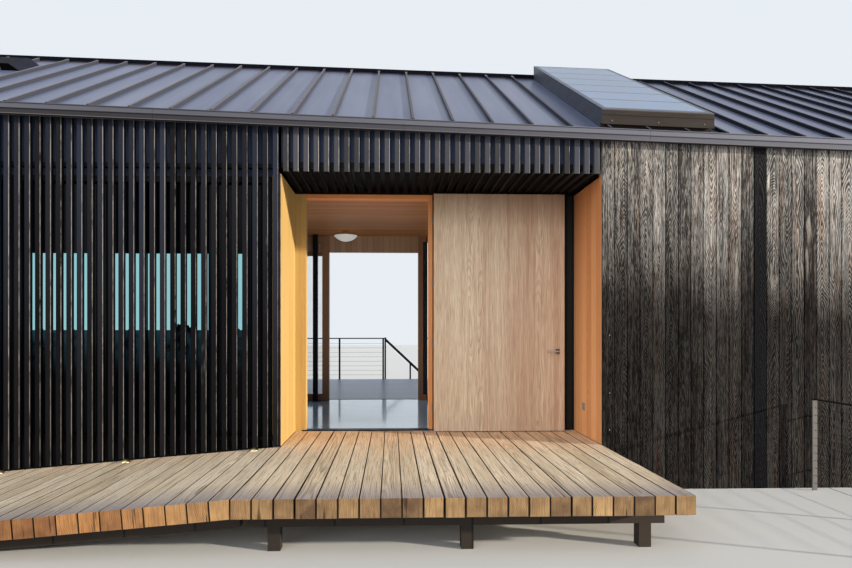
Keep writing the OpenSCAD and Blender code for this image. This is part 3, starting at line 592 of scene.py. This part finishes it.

# %% [markdown]
# ## The batten screen and the canopy
# The left wall hides behind square battens, stained black, a hand's width apart, from the eave to
# just above the ramp. Their right-hand arrises carry a painted highlight where the low sun catches
# them, and their undersides painted shade. A striped texture would do from afar, but the windows
# show through real gaps. Over the doorway they run into the recess.

# %% Black battens
batten, pitch, screen_r = 0.05, 0.1, -1.715


def batten_finish(name, dark, light, cool, side, worn_low):
    """The stain has gone thin in streaks. side is a painted highlight on the right-hand arris near the
    front, where the low sun catches it, and faces that look down are painted in shade.
    """
    f = Finish(name, 0.03)
    rub = fibre(f, 120, 3)
    worn = f.noise((5, 5, 2), 3).clip(worn_low, 0.85)
    patchy = f.noise((9, 9, 6), 4, 0.7).clip(0.36, 0.60)
    x, y, z = f.where()
    nx, ny, nz = f.facing()
    across = ((x + 1.74) * 10 + 0.5).saw()
    # painted highlight: right-hand faces and the right edge of the front, within a few millimetres of the
    # front, take the side colour where the low sun catches them, less near the ground
    lit_arris = (nx - 0.3).above(0) * (1 - y.above(front_y + 0.006))
    lit_arris = lit_arris + across.above(0.715) * (1 - across.above(0.78)) * (1 - y.above(front_y + 0.003)) * 0.6
    lit_arris = lit_arris * z.clip(0.4, 2.8, 0.5, 1.0)
    high = (z + f.tone()).clip(1.8, 4.0)
    body = f.mix(high, f.mix(f.tone(), dark, light), f.mix(f.tone(), light, cool))
    base = f.mix((rub * worn).clip(0.25, 0.6), body, (100, 98, 96))
    base = f.mix((lit_arris * (patchy * 0.7 + f.tone() * 0.3)).clip(0, 1), base, side)
    # painted shade: faces that look down are painted near black
    base = f.mix((0 - nz).above(0.5), base, (14, 11, 9))
    f.set(Base_Color=base, Roughness=rub.clip(0.3, 0.7, 0.6, 0.8), Normal=f.bump(rub, 0.0008, 0.6))
    return f


def ramp_top(x):
    """Height of the ramp surface below a point of the screen."""
    return np.clip(floor_z + (x - entry_l) * ramp_fall, 0, floor_z)


def screen_foot(x, y):
    """The battens end a finger's width above the ramp."""
    return ramp_top(x) + 0.012


black = batten_finish("black_battens", (16, 15, 17), (30, 28, 30), (46, 50, 62), (134, 130, 128), 0.55)
x = screen_r - batten / 2 - pitch * np.arange(53)
screen = [bars(rows(x, front_y + batten / 2, 1.0), (0, 0, 2), east, batten, batten,
               edge=0.0025, seed=21, heights=(screen_foot, under_roof))]
for z in (0.5225, 3.2295):
    screen.append(bars((-end_x, front_y + 0.075, z), (end_x + screen_r, 0, 0), up, 0.045, 0.05,
                       seed=22))
piece("screen_battens", screen, [black], "left_screen")

# %% Canopy battens
canopy_stain = batten_finish("canopy_battens", (46, 45, 47), (60, 59, 61), (76, 76, 82), (156, 154, 152), 0.45)
x, canopy_z = entry_l + 0.05 + pitch * np.arange(32), 3.162
piece("canopy_uprights",
      [bars(rows(x, front_y + batten / 2, canopy_z), (0, 0, 0.4), east, batten, batten, seed=23,
            heights=(flat(canopy_z), under_roof)),
       bars(rows(x, front_y + batten, canopy_z + batten / 2), (0, 0.82, 0), east, batten, batten,
            seed=24)],
      [canopy_stain], "canopy_battens")

# %% [markdown]
# ## Warm wood round the door
# The recess is lined with red cedar, the frame is a darker piece of it, and the wide leaf is pale
# oak, glued up from nine boards. A dark cover strip closes the front edge of the left lining. The
# cedar is one wood painted as a sunlit and a shaded copy, and the shaded lining and the leaf get
# painted shade towards the top. One finish serves all, because only colours, rings, streaks and
# painted shade differ.

# %% A timber finish for several pieces
def timber(name, dark, light, spacing, line, streaks, tones=0.35, pith=0.05, wander=0.08,
           stretch=0.9, clouds=(6, 6, 0.9), painted_shade=None):
    """Base colour runs from dark to light with the board's tone; rings and streaks darken it.
    painted_shade is a low and a high height, a share and the colour of the shade painted there, darkest at
    the high height."""
    f = Finish(name, 0.35)
    ring = rings(f, spacing, pith, wander, stretch)
    late = ring.clip(0.35, 0.9) * (1 - ring.clip(0.92, 1.0))
    streak = fibre(f)
    shade = f.tone() * tones + f.grain(clouds, 3).clip(0.3, 0.7) * (1 - tones)
    base = f.mix(shade, light, dark)
    if painted_shade:
        low, high, share, colour = painted_shade
        base = f.mix(f.where()[2].clip(low, high) * share, base, colour)
    lines = (late * line + (1 - streak.clip(0.3, 0.6)) * streaks).clip(0, 1)
    f.set(Base_Color=f.mix(lines, base, scaled(dark, 0.55)), Roughness=late * 0.12 + 0.5,
          Normal=f.bump(late * 0.5 + streak, 0.0006, 0.6))
    return f


# painted light: cedar is the sunlit copy, yellower, for the left reveal and the left frame member;
# shaded_cedar is the same wood, brighter and more orange, for the shaded right reveal, with painted shade
# deepening towards the top; the oak leaf gets painted shade at its top, under the canopy
cedar = timber("cedar_lining", (184, 148, 84), (210, 176, 110), 0.006, 0.14, 0.14, 0.4, clouds=(14, 14, 0.6))
shaded_cedar = timber("shaded_cedar_lining", (200, 130, 78), (246, 186, 128), 0.006, 0.20, 0.24, 0.75,
                   clouds=(14, 14, 0.6), painted_shade=(0.9, 3.1, 0.6, (172, 98, 54)))
frame_wood = timber("door_frame_timber", (216, 138, 80), (236, 162, 98), 0.006, 0.16, 0.2)
oak = timber("pale_oak", (194, 152, 122), (255, 236, 202), 0.009, 0.24, 0.70, 0.60, pith=0.07, wander=0.10,
             stretch=0.8, clouds=(26, 26, 0.8), painted_shade=(2.75, 3.2, 0.7, (124, 80, 48)))
print("grain of the leaf", len(oak.tree.nodes), "nodes")

# %% Reveals, door frame and leaf
head_z, strip, back_l = 3.15, 0.022, -1.79
frame_l, frame_r, member, sill, mid_y = -1.615, -0.125, 0.047, floor_z + 0.014, door_y + 0.05
lined = {"bottom": floor_z, "top": head_z, "gap": 0.0008, "edge": 0.0006}
piece("left_lining",
      [boards((entry_l, door_y), (entry_l, front_y + strip), (1, 0), 6, 0.025, seed=31, **lined),
       box((back_l, behind_y, floor_z), (-1.7151, door_y, head_z)),
       boards((back_l, door_y), (frame_l, door_y), (0, -1), 1, 0.1, seed=32, **lined),
       coat(bars((-1.7025, front_y + strip / 2, floor_z), (0, 0, head_z - floor_z), east, 0.0248, strip,
                 seed=33), 1)],
      [cedar, black], "left_reveal")
piece("right_lining",
      [boards((entry_r, front_y + strip), (entry_r, door_y), (-1, 0), 6, 0.025, seed=35, **lined),
       box((1.5351, glass_y, floor_z), (1.635, -1.88, head_z))],
      [shaded_cedar], "right_reveal")
upright, level = (0, 0, head_z - sill), (frame_r - frame_l - 2 * member, 0, 0)
piece("door_frame_members",
      [bars((frame_r - member / 2, mid_y, sill), upright, east, member, 0.1, 0.002, seed=37),
       # the left member, in the sun, takes the sunlit cedar copy
       coat(bars((frame_l + member / 2, mid_y, sill), upright, east, member, 0.1, 0.002, seed=39), 1),
       bars((frame_l + member, mid_y, head_z - member / 2), level, up, member, 0.1, 0.002, seed=38)],
      [frame_wood, cedar], "door_frame")
leaf_y, leaf_t = -2.031, 0.045
face_y = leaf_y - leaf_t
leaf_boards = boards((-0.117, face_y), (1.371, face_y), (0, -1), 9, leaf_t, 0.458, 3.142, 0.0002,
                     edge=0.0002, seed=41)
# painted light: on top of their own random tone, the boards are painted paler towards the hinges and darker
# and pinker towards the lever, as the light falls across the leaf
leaf_boards["tone"] = leaf_boards["tone"] * 0.35 + np.clip((leaf_boards["points"][:, 0] - 0.1) / 1.6, 0, 0.6)
piece("door_leaf_boards", [leaf_boards],
      [oak], "front_door", "front_door_leaf")

# %% [markdown]
# ## Lever, hinges, a switch plate and lights in the ramp
# Small metal things tell the size of a house: a lever on a squarish rose, hinge sleeves, a switch
# plate and three low brass domes that light the ramp. Cylinders from the menu would need scaling;
# a profile swept round an axis holds the true measures.

# %% Metals in small parts
def metal(name, colour, rough, metallic=0.0, change=0.12, **fixed):
    """Cloud and dust move the colour by change, darker and lighter; dust also changes the shine."""
    f = Finish(name, Metallic=metallic, **fixed)
    cloud, dust = f.noise(1.4, 3), f.noise(14, 4, 0.6)
    dull, bright = (scaled(colour, 1 + way * change) for way in (-1, 1))
    f.set(Base_Color=f.mix(cloud * 0.6 + dust * 0.4, dull, bright),
          Roughness=dust.clip(0.3, 0.7, rough - 0.06, rough + 0.08))
    return f


dark_steel = metal("dark_steel", (84, 82, 80), 0.32, 1.0, 0.08)
dress(dark_steel, "door_hinges")
lever_steel = metal("lever_steel", (176, 174, 170), 0.25, 1.0, 0.05)

hinge_x, lever_x, lever_z, plate_z = frame_r, 1.291, 1.36, 0.765
hinge_z = floor_z + 2.684 * np.array([0.1, 0.37, 0.63, 0.9])
sleeve = [(0.0072, 0), (0.008, 0.0008), (0.008, 0.048), (0.0072, 0.0496)]
neck = [(0.012, 0), (0.012, 0.004), (0.0085, 0.006), (0.0085, 0.036), (0.0078, 0.0375)]
piece("lever_and_sleeves",
      [turned(rows(hinge_x, leaf_y, hinge_z + 0.0002), up, sleeve, 18),
       bars(rows(hinge_x + 0.0035, leaf_y - 0.0015, hinge_z + 0.0004), (0, 0, 0.049), east, 0.007, 0.003,
            edge=0.0004),
       bars((lever_x, face_y - 0.0045, lever_z - 0.026), (0, 0, 0.052), east, 0.040, 0.009,
            edge=0.002, corner=2),
       bars((lever_x, leaf_y + 0.0045, lever_z - 0.02), (0, 0, 0.04), east, 0.040, 0.009,
            edge=0.002, corner=2),
       coat(turned((lever_x, face_y - 0.008, lever_z), (0, -1, 0), neck), 1),
       coat(bars((lever_x + 0.0085, face_y - 0.043, lever_z), (-0.1435, 0, 0), up, 0.018, 0.0135,
                 edge=0.005, corner=3), 1)],
      [dark_steel, lever_steel], "door_furniture", "front_door_leaf")
piece("switch_plate",
      [bars((entry_r - 0.004, -2.36, plate_z), (0, 0.08, 0), up, 0.08, 0.008, edge=0.0025, corner=2),
       bars((entry_r - 0.0085, -2.338, plate_z), (0, 0.036, 0), up, 0.036, 0.003, edge=0.0012)],
      [metal("switch_plate", (150, 134, 124), 0.4, 0.0, 0.05)])
spots = np.array([-4.346, -3.156, -1.929])
dome = [(0.046, 0), (0.046, 0.004), (0.040, 0.010), (0.033, 0.018), (0.022, 0.025), (0.010, 0.029),
        (0.002, 0.030)]
piece("ramp_lights", [turned(rows(spots, -2.93, ramp_top(spots) - 0.001), up, dome, 24)],
      [metal("brass", (238, 216, 164), 0.3, 1.0, 0.1)], smooth=True)

# %% [markdown]
# ## Sleepers underfoot
# The platform and the ramp are heavy pine sleepers side by side, their sawn ends to the front.
# Feet and rain have rounded the edges and opened dark checks, and sun has bleached the tops.
# Towards the door they are painted warmer, a painted warm light from the cedar recess, and their
# sides in the gaps between them are painted in shade. The sawn ends have kept their orange
# heartwood. One finish asks which way its face looks, so no seam is needed between top and end.

# %% Sleepers
f = sleeper = Finish("sleepers", 0.2)
ring = rings(f, 0.012, 0.05, 0.05, 0.9)
late = ring.clip(0.3, 0.85) * (1 - ring.clip(0.9, 1.0))
fine = fibre(f, 110, 2.5)
check = f.grain((42, 42, 1.0), 4, 0.65).clip(0.60, 0.72)
fleck = f.grain((60, 60, 16), 3).clip(0.62, 0.74)
cloud = f.grain((10, 10, 1.2), 3).clip(0.3, 0.7)
x, y, z = f.where()
nx, ny, nz = f.facing()
patina_and_warm_light = f.mix(f.tone() * 0.5 + cloud * 0.5, (250, 234, 208), (204, 184, 154))
patina_and_warm_light = f.mix((0 - y).clip(4.15, 4.60) * 0.9, patina_and_warm_light, (158, 152, 155))
# painted light: warmer towards the door, a painted warm light from the cedar recess
patina_and_warm_light = f.mix(y.clip(-3.4, -2.3) * 0.60, patina_and_warm_light, (236, 186, 138))
patina_and_warm_light = f.mix((late * 0.34 + (1 - fine.clip(0.36, 0.52)) * 0.42).clip(0, 1), patina_and_warm_light, (104, 86, 68))
patina_and_warm_light = f.mix((check * 0.75 + fleck * 0.5).clip(0, 1), patina_and_warm_light, (66, 54, 44))
sawn = f.grain((90, 7, 7), 3)
tanned = x.clip(-2.6, -1.4)
heart = f.mix(f.tone() * 0.8 + cloud * 0.4 - 0.1,
              f.mix(tanned, (202, 144, 88), (194, 158, 110)), f.mix(tanned, (114, 74, 46), (98, 77, 57)))
heart = f.mix((late * 0.35 + (1 - sawn.clip(0.3, 0.6)) * 0.45).clip(0, 1), heart, (96, 66, 42))
heart = f.mix(f.grain((34, 2.5, 4)).clip(0.68, 0.74) * 0.8, heart, (44, 30, 22))
end = (0 - ny).clip(0.45, 0.75)
# painted shade: the sides of the sleepers, in the gaps between them, are painted dark brown, but for the
# outer side at the right end
flank_shading = nx.size().clip(0.35, 0.75) * (1 - x.above(1.505))
f.set(Base_Color=f.mix(flank_shading, f.mix(end, patina_and_warm_light, heart), (46, 36, 28)), Roughness=late * 0.1 + 0.74,
      Normal=f.bump(late * 0.3 + fine * 0.5 - check * 1.2, 0.0016, 0.8))

beam, front_end = 0.135, -4.62
n = 22
step = (entry_r - entry_l) / n
x = entry_l + step * (np.arange(n) + 0.5)
drawn, sag = chance.uniform(0, 0.006, n), chance.uniform(0, 0.002, n)
wide = step - 0.0065 - chance.choice([0.0, 0.0, 0.002, 0.005], n)
piece("platform_sleepers",
      [bars(rows(x, front_end + drawn, floor_z - beam / 2 - sag), rows(0, door_y - front_end - drawn, 0),
            east, wide, beam, edge=0.0035, corner=2, seed=51)],
      [sleeper], "entry_platform")
n = 33
slope = math.atan(ramp_fall)
down = np.array([-math.cos(slope), 0, -math.sin(slope)])
below = np.array([math.sin(slope), 0, -math.cos(slope)])
sag = chance.uniform(0, 0.0012, n)
centre = np.array([entry_l, 0, floor_z]) + down * (0.145 * (np.arange(n) + 0.5))[:, None]
centre = centre + below * (beam / 2 + sag)[:, None]
drawn = chance.uniform(0, 0.007, n)
wide = 0.1385 - chance.choice([0.0, 0.0, 0.002, 0.004], n)
ramp = bars(centre + rows(0, front_end + drawn, 0), rows(0, front_y - 0.001 - front_end - drawn, 0), -down,
            wide, beam, edge=0.0022, corner=2, seed=52)
ramp["points"][:, 0] = np.minimum(ramp["points"][:, 0], entry_l - 0.002)
ramp["points"][:, 2] = np.maximum(ramp["points"][:, 2], 0.0)
piece("ramp_sleepers", [ramp], [sleeper], "entry_ramp")

# %% [markdown]
# ## Roof sheets
# The roof is folded from long metal sheets. Its pans are smooth and mirror the sky. A true mirror
# would show the white studio, so the sky's blue is painted into the pans, a painted reflection that
# grows darker towards the right. The seams' flanks are painted dark in shade on one side and lit
# on the other, with a painted highlight along their folded tops on the left; they end in small tabs
# at the ridge. Pans and seams are told apart by their height over the slope.

# %% Roof metal
def over_roof(f):
    """Height over the pans = z + size of (rise * y - fall * x) - ridge height."""
    x, y, z = f.where()
    return z + (y * rise - x * fall).size() - ridge_z


f = Finish("roof_metal", 0.22)
dress(f, "front_roof", "rear_roof")
x = f.where()[0]
nx, ny, nz = f.facing()
over = over_roof(f)
cloud, drift = f.noise((1.2, 0.35, 0.35)), f.noise((9, 0.5, 0.5))
# painted reflection: the sky's blue in the pans, darker towards the right
pan = f.mix(x.clip(-5, 5) * 0.8 + (cloud - 0.5) * 0.8, (87, 95, 122), (78, 83, 106))
pan = f.mix(drift.clip(0.45, 0.75) * 0.25, pan, (116, 122, 146))
# painted light: flanks facing the low sun on the right are painted lit, those facing away dark in shade; the
# folded tops carry a painted highlight that fades from left to right
flank_shading = f.mix(nx.above(0), (10, 12, 22), (62, 64, 74))
crest_highlight = f.mix(x.clip(-1.5, 0.8), (104, 99, 104), (58, 60, 72))
base = f.mix(nx.size().above(0.5), f.mix(over.above(0.03), pan, crest_highlight), flank_shading)
base = f.mix((nz + 0.5).above(0) * (1 - ny.size().above(0.93)), (30, 31, 36), base)
f.set(Base_Color=base, Roughness=cloud.clip(0.3, 0.7, 0.30, 0.42) + over.above(0.03) * 0.4)

f = Finish("ridge_metal", 0.0)
dress(f, "ridge_cap")
cloud = f.noise((1, 9, 9), 3)
foot = f.facing()[1].size().above(0.8) * (1 - over_roof(f).above(0.016))
f.set(Base_Color=f.mix(foot, f.mix(cloud, (12, 14, 21), (20, 23, 32)), (56, 49, 50)),
      Roughness=cloud.clip(0.3, 0.7, 0.5, 0.7))

f = tab_metal = Finish("seam_tabs", 0.1)
cloud = f.noise(30, 3)
# painted light: tabs on the left are painted lit grey, those on the right dark in shade
f.set(Base_Color=f.mix(f.where()[0].above(1.5), f.mix(cloud, (84, 80, 84), (102, 96, 99)), (22, 24, 32)),
      Roughness=cloud.clip(0.3, 0.7, 0.4, 0.6))
seam_pitch, middle_seam, light_l, light_r = 0.394, 0.012, 1.47, 2.74
seam = middle_seam + seam_pitch * np.arange(-18, 19)
# the skylight stands in the way of three seams
seam = seam[(np.abs(seam) < end_x) & ((seam < light_l) | (seam > light_r))]
skew = math.atan(fall / rise)


def beside_cap(back, lift):
    """A point of every seam, back from the edge of the ridge cap and lift over the pans."""
    y = seam * math.tan(skew) - (0.13 + back) / math.cos(skew)
    return rows(seam, y, roof(seam, y, -lift))


low, high = beside_cap(0.085, 0.0425), beside_cap(0.004, 0.0455)
piece("seam_tabs", [bars(low * turn, (high - low) * turn, east, 0.034, 0.004, edge=0.001)
                    for turn in (np.ones(3), [-1, -1, 1])], [tab_metal])

# %% [markdown]
# ## Fascia
# The fascia is one folded strip. Its upper band leans back under a thin lip and catches the sky,
# the lower band is set back in shadow, and its lengths meet in narrow gaps. On the front a painted
# reflection makes it paler towards the right, painted shade darkens the lower band and a painted
# highlight runs along the bottom edge. A bump would not change its outline, so the folds are a
# moulding carried along the eave.

# %% Fascia
f = fascia_metal = Finish("fascia_metal", 0.08)
dress(f, "barge_boards")
cloud = f.noise((0.7, 4, 14), 3)
x, y, z = f.where()
level = z + x * fall
sheet = f.mix(cloud, (76, 76, 84), (92, 92, 101))
# painted reflection: the front strip is painted paler towards the right
sheet = f.mix(x.clip(-2.5, 4.5) * 0.66 * (0 - y).clip(2.6, 2.8), sheet, (138, 138, 146))
# painted shade: the lower band is painted darker, most on the left
sheet = f.mix((3.592 - level).clip(-0.004, 0.004) * x.clip(-3.5, 2.0, 0.9, 0.25), sheet, (40, 37, 39))
# painted highlight along the bottom edge
sheet = f.mix((1 - (level - 3.542).size().above(0.003)) * 0.5, sheet, (132, 126, 120))
f.set(Base_Color=sheet, Roughness=cloud.clip(0.3, 0.7, 0.34, 0.5))
folds = [(0, 0), (0.027, 0), (0.0295, -0.0015), (0.030, -0.006), (0.0275, -0.009), (0.021, -0.010),
         (0.0285, -0.056), (0.0285, -0.0585), (0.018, -0.060), (0.0195, -0.103), (0.023, -0.105),
         (0.023, -0.111), (0, -0.111)]
joints = np.array([-7.16, -2.906, -0.474, 1.972, 4.5, 7.16])
a, b = joints[:-1] + 0.0015, joints[1:] - 0.0015
for name, turn in (("front_fascia", 1), ("rear_fascia", -1)):
    start, end = (rows(x, -2.90, 3.65 - fall * x) * [turn, turn, 1] for x in (a, b))
    piece(name + "_strip", [mouldings(start, end, (0, -turn, 0), folds)], [fascia_metal],
          name)

# %% [markdown]
# ## Skylight
# The front of the skylight is a bronze sheet with a fold along its middle and three screws. Its
# sides are flashed with ribbed slate-grey sheet, and the glass lies in panes with dark joints.
# The box keeps its CAD shape; the fold, the ribs and a highlight on the top edge of the front are
# painted light and shade at their height over the roof, the underside is painted shade, and the
# glass carries a painted reflection of the sky.

# %% Skylight
f = Finish("skylight_metal", 0.15)
dress(f, "skylight_box")
nx, ny, nz = f.facing()
over = over_roof(f)
cloud = f.noise((3, 3, 20), 3)
face = f.mix(cloud, (46, 39, 36), (62, 54, 49))
# painted shade: the fold is drawn as a dark line
face = f.mix(1 - (over - 0.142).size().above(0.004), face, (30, 25, 22))
# painted highlight along the top edge of the front
face = f.mix(over.above(0.193), face, (92, 84, 76))
rib = (over / 0.034).saw()
# painted light: each rib is painted from dark to light, with a dark shade line at its edge
slate = f.mix(rib.clip(0.62, 0.95), (56, 60, 70), (92, 98, 112))
slate = f.mix(rib.above(0.94), slate, (30, 32, 40))
base = f.mix(nx.size().above(0.5), f.mix(cloud, (64, 70, 84), (80, 87, 104)), slate)
base = f.mix((0 - ny).above(0.8), base, face)
# painted shade: faces that look down are painted near black
base = f.mix((0 - nz).above(0.1), base, (12, 12, 14))
f.set(Base_Color=base, Roughness=cloud.clip(0.3, 0.7, 0.35, 0.5), Normal=f.bump(rib, 0.003, 0.4))
screw_steel = speckled("screw_heads", (104, 97, 86), (128, 120, 106), Roughness=0.5, shine=0.2)
screws = rows([1.628, 2.104, 2.577], -2.8098, [3.712, 3.697, 3.684])
piece("skylight_screws", [turned(screws, (0, -1, 0), [(0.008, 0), (0.008, 0.002), (0.005, 0.0045)], 12)],
      [screw_steel])
f = Finish("skylight_glass", 0.08, Roughness=0.2)
dress(f, "skylight_glass")
x, y, z = f.where()
joint = (((y + 2.755 - 0.0025) / 0.42833 + 0.5).saw() - 0.5).size()
# painted reflection: the panes carry the sky's blue, paler towards the front
pane = f.mix(f.noise(3, 3) * 0.4 + (0 - y).clip(1.2, 2.8) * 0.6, (90, 107, 135), (108, 128, 160))
f.set(Base_Color=f.mix(1 - joint.above(0.028), pane, (34, 42, 56)))

# %% [markdown]
# ## The low fence
# A short fence runs forward from the wall: flat pale posts, a dark handrail and thin wires. A
# curve with a bevel would make a wire too, but a very thin bar needs nothing new.

# %% Fence
fence_x, wall_end = 3.624, -2.93
post_metal = metal("fence_posts", (106, 101, 96), 0.5)
steel_black = metal("black_steel", (22, 23, 26), 0.4, shine=0.15)
dress(steel_black, "steel_posts", "veranda_frame", "rear_balustrade")
posts = rows(fence_x, wall_end - np.array([0.006, 0.994, 1.994]), 0)
wires = rows(fence_x, wall_end, 0.075 * np.arange(1, 12))
piece("fence_bars",
      [bars(posts, (0, 0, 0.903), east, 0.048, 0.012, edge=0.002, seed=61),
       coat(bars((fence_x, wall_end - 2, 0.909), (0, 2, 0), east, 0.048, 0.012, edge=0.002, seed=62), 1),
       coat(bars(wires, (0, -2, 0), east, 0.0036, 0.0036, edge=0.001, seed=63), 1),
       coat(bars(rows(fence_x, wall_end, [0.183, 0.732]), (0, 0.08, 0), east, 0.014, 0.014,
                 edge=0.004, corner=2, seed=64), 1)],
      [post_metal, steel_black], "side_fence")

# %% [markdown]
# ## Finishes for the parts that keep their CAD shape
# Frames, glass and steel already have their true shapes and need the right sheen. The windows
# behind the screen are dark, but for the daylight of the far side above the height of the rail,
# with a dimmer glow just below it. The studio has nothing to show there, so it is a painted glow.

# %% Metals, panels and glass
f = Finish("vent_metal", 0.02)
dress(f, "roof_vent")
nx, ny, nz = f.facing()
cloud = f.noise(9, 3)
# painted light: faces toward the low sun on the right are painted lighter, and the front is painted darkest,
# in shade
hood = f.mix(nx.above(0.3), f.mix(cloud, (10, 11, 16), (17, 18, 24)), (34, 36, 48))
f.set(Base_Color=f.mix((0 - ny).above(0.75), hood, (7, 7, 9)), Roughness=cloud.clip(0.3, 0.7, 0.5, 0.65))
dress(metal("window_frame_metal", (14, 17, 24), 0.4, shine=0.12), "left_window_frame")
dress(metal("spandrel_panel", (70, 82, 106), 0.5, shine=0.12), "left_spandrel")
dress(metal("plinth_sheet", (34, 33, 36), 0.5, shine=0.08), "left_plinth")
dress(metal("black_sill", (16, 17, 20), 0.4, shine=0.12), "door_threshold")

f = Finish("side_panel", 0.12, Roughness=0.5)
dress(f, "entry_side_panel")
x, cloud = f.where()[0], f.noise((3, 3, 0.4), 3)
# painted highlight: a lighter upright band near the right edge of the dark strip
highlight_band = x.above(1.432) * (1 - x.above(1.484))
f.set(Base_Color=f.mix(highlight_band, f.mix(cloud, (12, 13, 15), (22, 23, 26)),
                       f.mix(cloud, (28, 31, 28), (38, 40, 36))))
f = Finish("canopy_panel", 0.12, Roughness=0.5)
dress(f, "canopy_box")
cloud = f.noise((3, 3, 1), 3)
f.set(Base_Color=f.mix(f.where()[2].above(3.27), f.mix(cloud, (8, 8, 9), (14, 13, 13)),
                       f.mix(cloud, (42, 50, 72), (54, 63, 86))))

f = Finish("clear_glass", 0.8, Roughness=0.02)
dress(f, "rear_window_glass", "sliding_door_glass")
smear = f.noise(3, 3)
f.set(Base_Color=f.mix(smear, (120, 142, 156), (132, 152, 164)), Alpha=smear.clip(0.3, 0.7, 0.03, 0.06))
f = Finish("shaded_glass", 0.04, Roughness=0.10, Emission_Strength=1.0)
dress(f, "left_window_glass")
x, y, z = f.where()
smear, mottle = f.noise((0.8, 1, 1), 3), f.noise((7, 1, 5), 4, 0.7)
slit = x.above(-4.26) * (1 - x.above(-3.60)) + x.above(-3.42) * (1 - x.above(-2.46))
slit = slit + x.above(-2.20) * (1 - x.above(-2.08))
# a dim painted glow below the height of the rail
dim_glow = z.clip(1.15, 1.60) * (1 - z.above(1.60)) * slit * mottle.clip(0.40, 0.60)
bright = z.above(1.60) * (1 - z.above(2.376)) * slit * ((z - 1.60) + mottle * 0.5).above(0.24)
f.set(Base_Color=f.mix(smear, (8, 10, 13), (16, 19, 24)),
      Emission_Color=f.mix(bright, f.mix(dim_glow, (0, 1, 2), (26, 52, 62)),
                           f.mix(smear, (128, 186, 194), (158, 208, 214))))
f = Finish("opal_glass", Roughness=0.3, Emission_Strength=0.25)
dress(f, "ceiling_light")
mount = f.where()[2].above(3.10)
bowl = f.mix(f.noise(20), (236, 236, 230), (244, 244, 240))
f.set(Base_Color=f.mix(mount, bowl, (176, 128, 84)), Emission_Color=f.mix(mount, (250, 246, 238), (0, 0, 0)))
print("panels and glass", len(bpy.data.materials), "materials")

# %% [markdown]
# ## Polished floor, ceiling, deck and rough timber
# The floor is ground concrete with a soft mirror, painted pale blue as a painted reflection of the
# sky. Ceiling and deck are planks whose CAD faces are flat; the deck's blue is painted skylight,
# and the bearers and stumps under the platform are painted near black, painted shade. Real joints
# would cost thousands of faces that nobody sees, so they are drawn.

# %% Concrete and planks
# painted reflection: the pale blue and the blue specular tint stand for the sky mirrored in the floor
f = Finish("polished_concrete", 1.0, IOR=1.9, Coat_Weight=0.5,
           Coat_Roughness=0.08, Specular_Tint=(0.74, 0.90, 1.0, 1.0))
dress(f, "floor_slab")
cloud, stone = f.noise(2.2, 5, 0.6), f.noise(60, 3)
f.set(Base_Color=f.mix(cloud * 0.7 + stone * 0.3, (160, 194, 222), (190, 218, 242)),
      Roughness=cloud.clip(0.3, 0.7, 0.08, 0.18))


def planked(name, dark, light, pitch, axis, stretch, rough=0.55, joint_share=0.03):
    """Planks drawn on a flat CAD face: joints in the colour and in the bump."""
    f = Finish(name, 0.3)
    place = f.where()[axis] / pitch
    joint = place.saw().above(1 - joint_share)
    board = f.add("ShaderNodeTexWhiteNoise", {"noise_dimensions": "1D"}, {"W": place.math("FLOOR", place)})
    streak = f.noise(stretch, 3)
    base = f.mix(board * 0.5 + streak * 0.5, dark, light)
    f.set(Base_Color=f.mix(joint, base, scaled(dark, 0.25)), Roughness=streak * 0.2 + (rough - 0.1),
          Normal=f.bump(streak * 0.2 - joint, 0.002, 0.7))
    return f


dress(planked("ceiling_boards", (166, 104, 58), (206, 144, 88), 0.09, 1, (1.5, 40, 40), 0.55, 0.07),
      "ceiling")
# painted light: the deck boards' blue is painted skylight on weathered grey boards
dress(planked("deck_boards", (90, 105, 130), (128, 143, 168), 0.096, 1, (1.2, 30, 30), 0.35, 0.06),
      "rear_deck", "rear_stair")
dress(planked("rear_timber", (148, 108, 80), (176, 136, 104), 0.5, 0, (30, 30, 1.5)),
      "rear_window_frame", "sliding_door")
dress(planked("rear_spandrel_boards", (176, 142, 114), (208, 174, 144), 0.09, 0, (30, 30, 1.5)),
      "rear_spandrel")
# painted shade: the bearers and stumps under the platform are painted near black
dress(planked("rough_timber", (40, 34, 29), (58, 48, 40), 0.5, 0, (30, 3, 30), 0.8),
      "entry_bearers", "rear_deck_stumps")
print("finishes", len(bpy.data.materials))
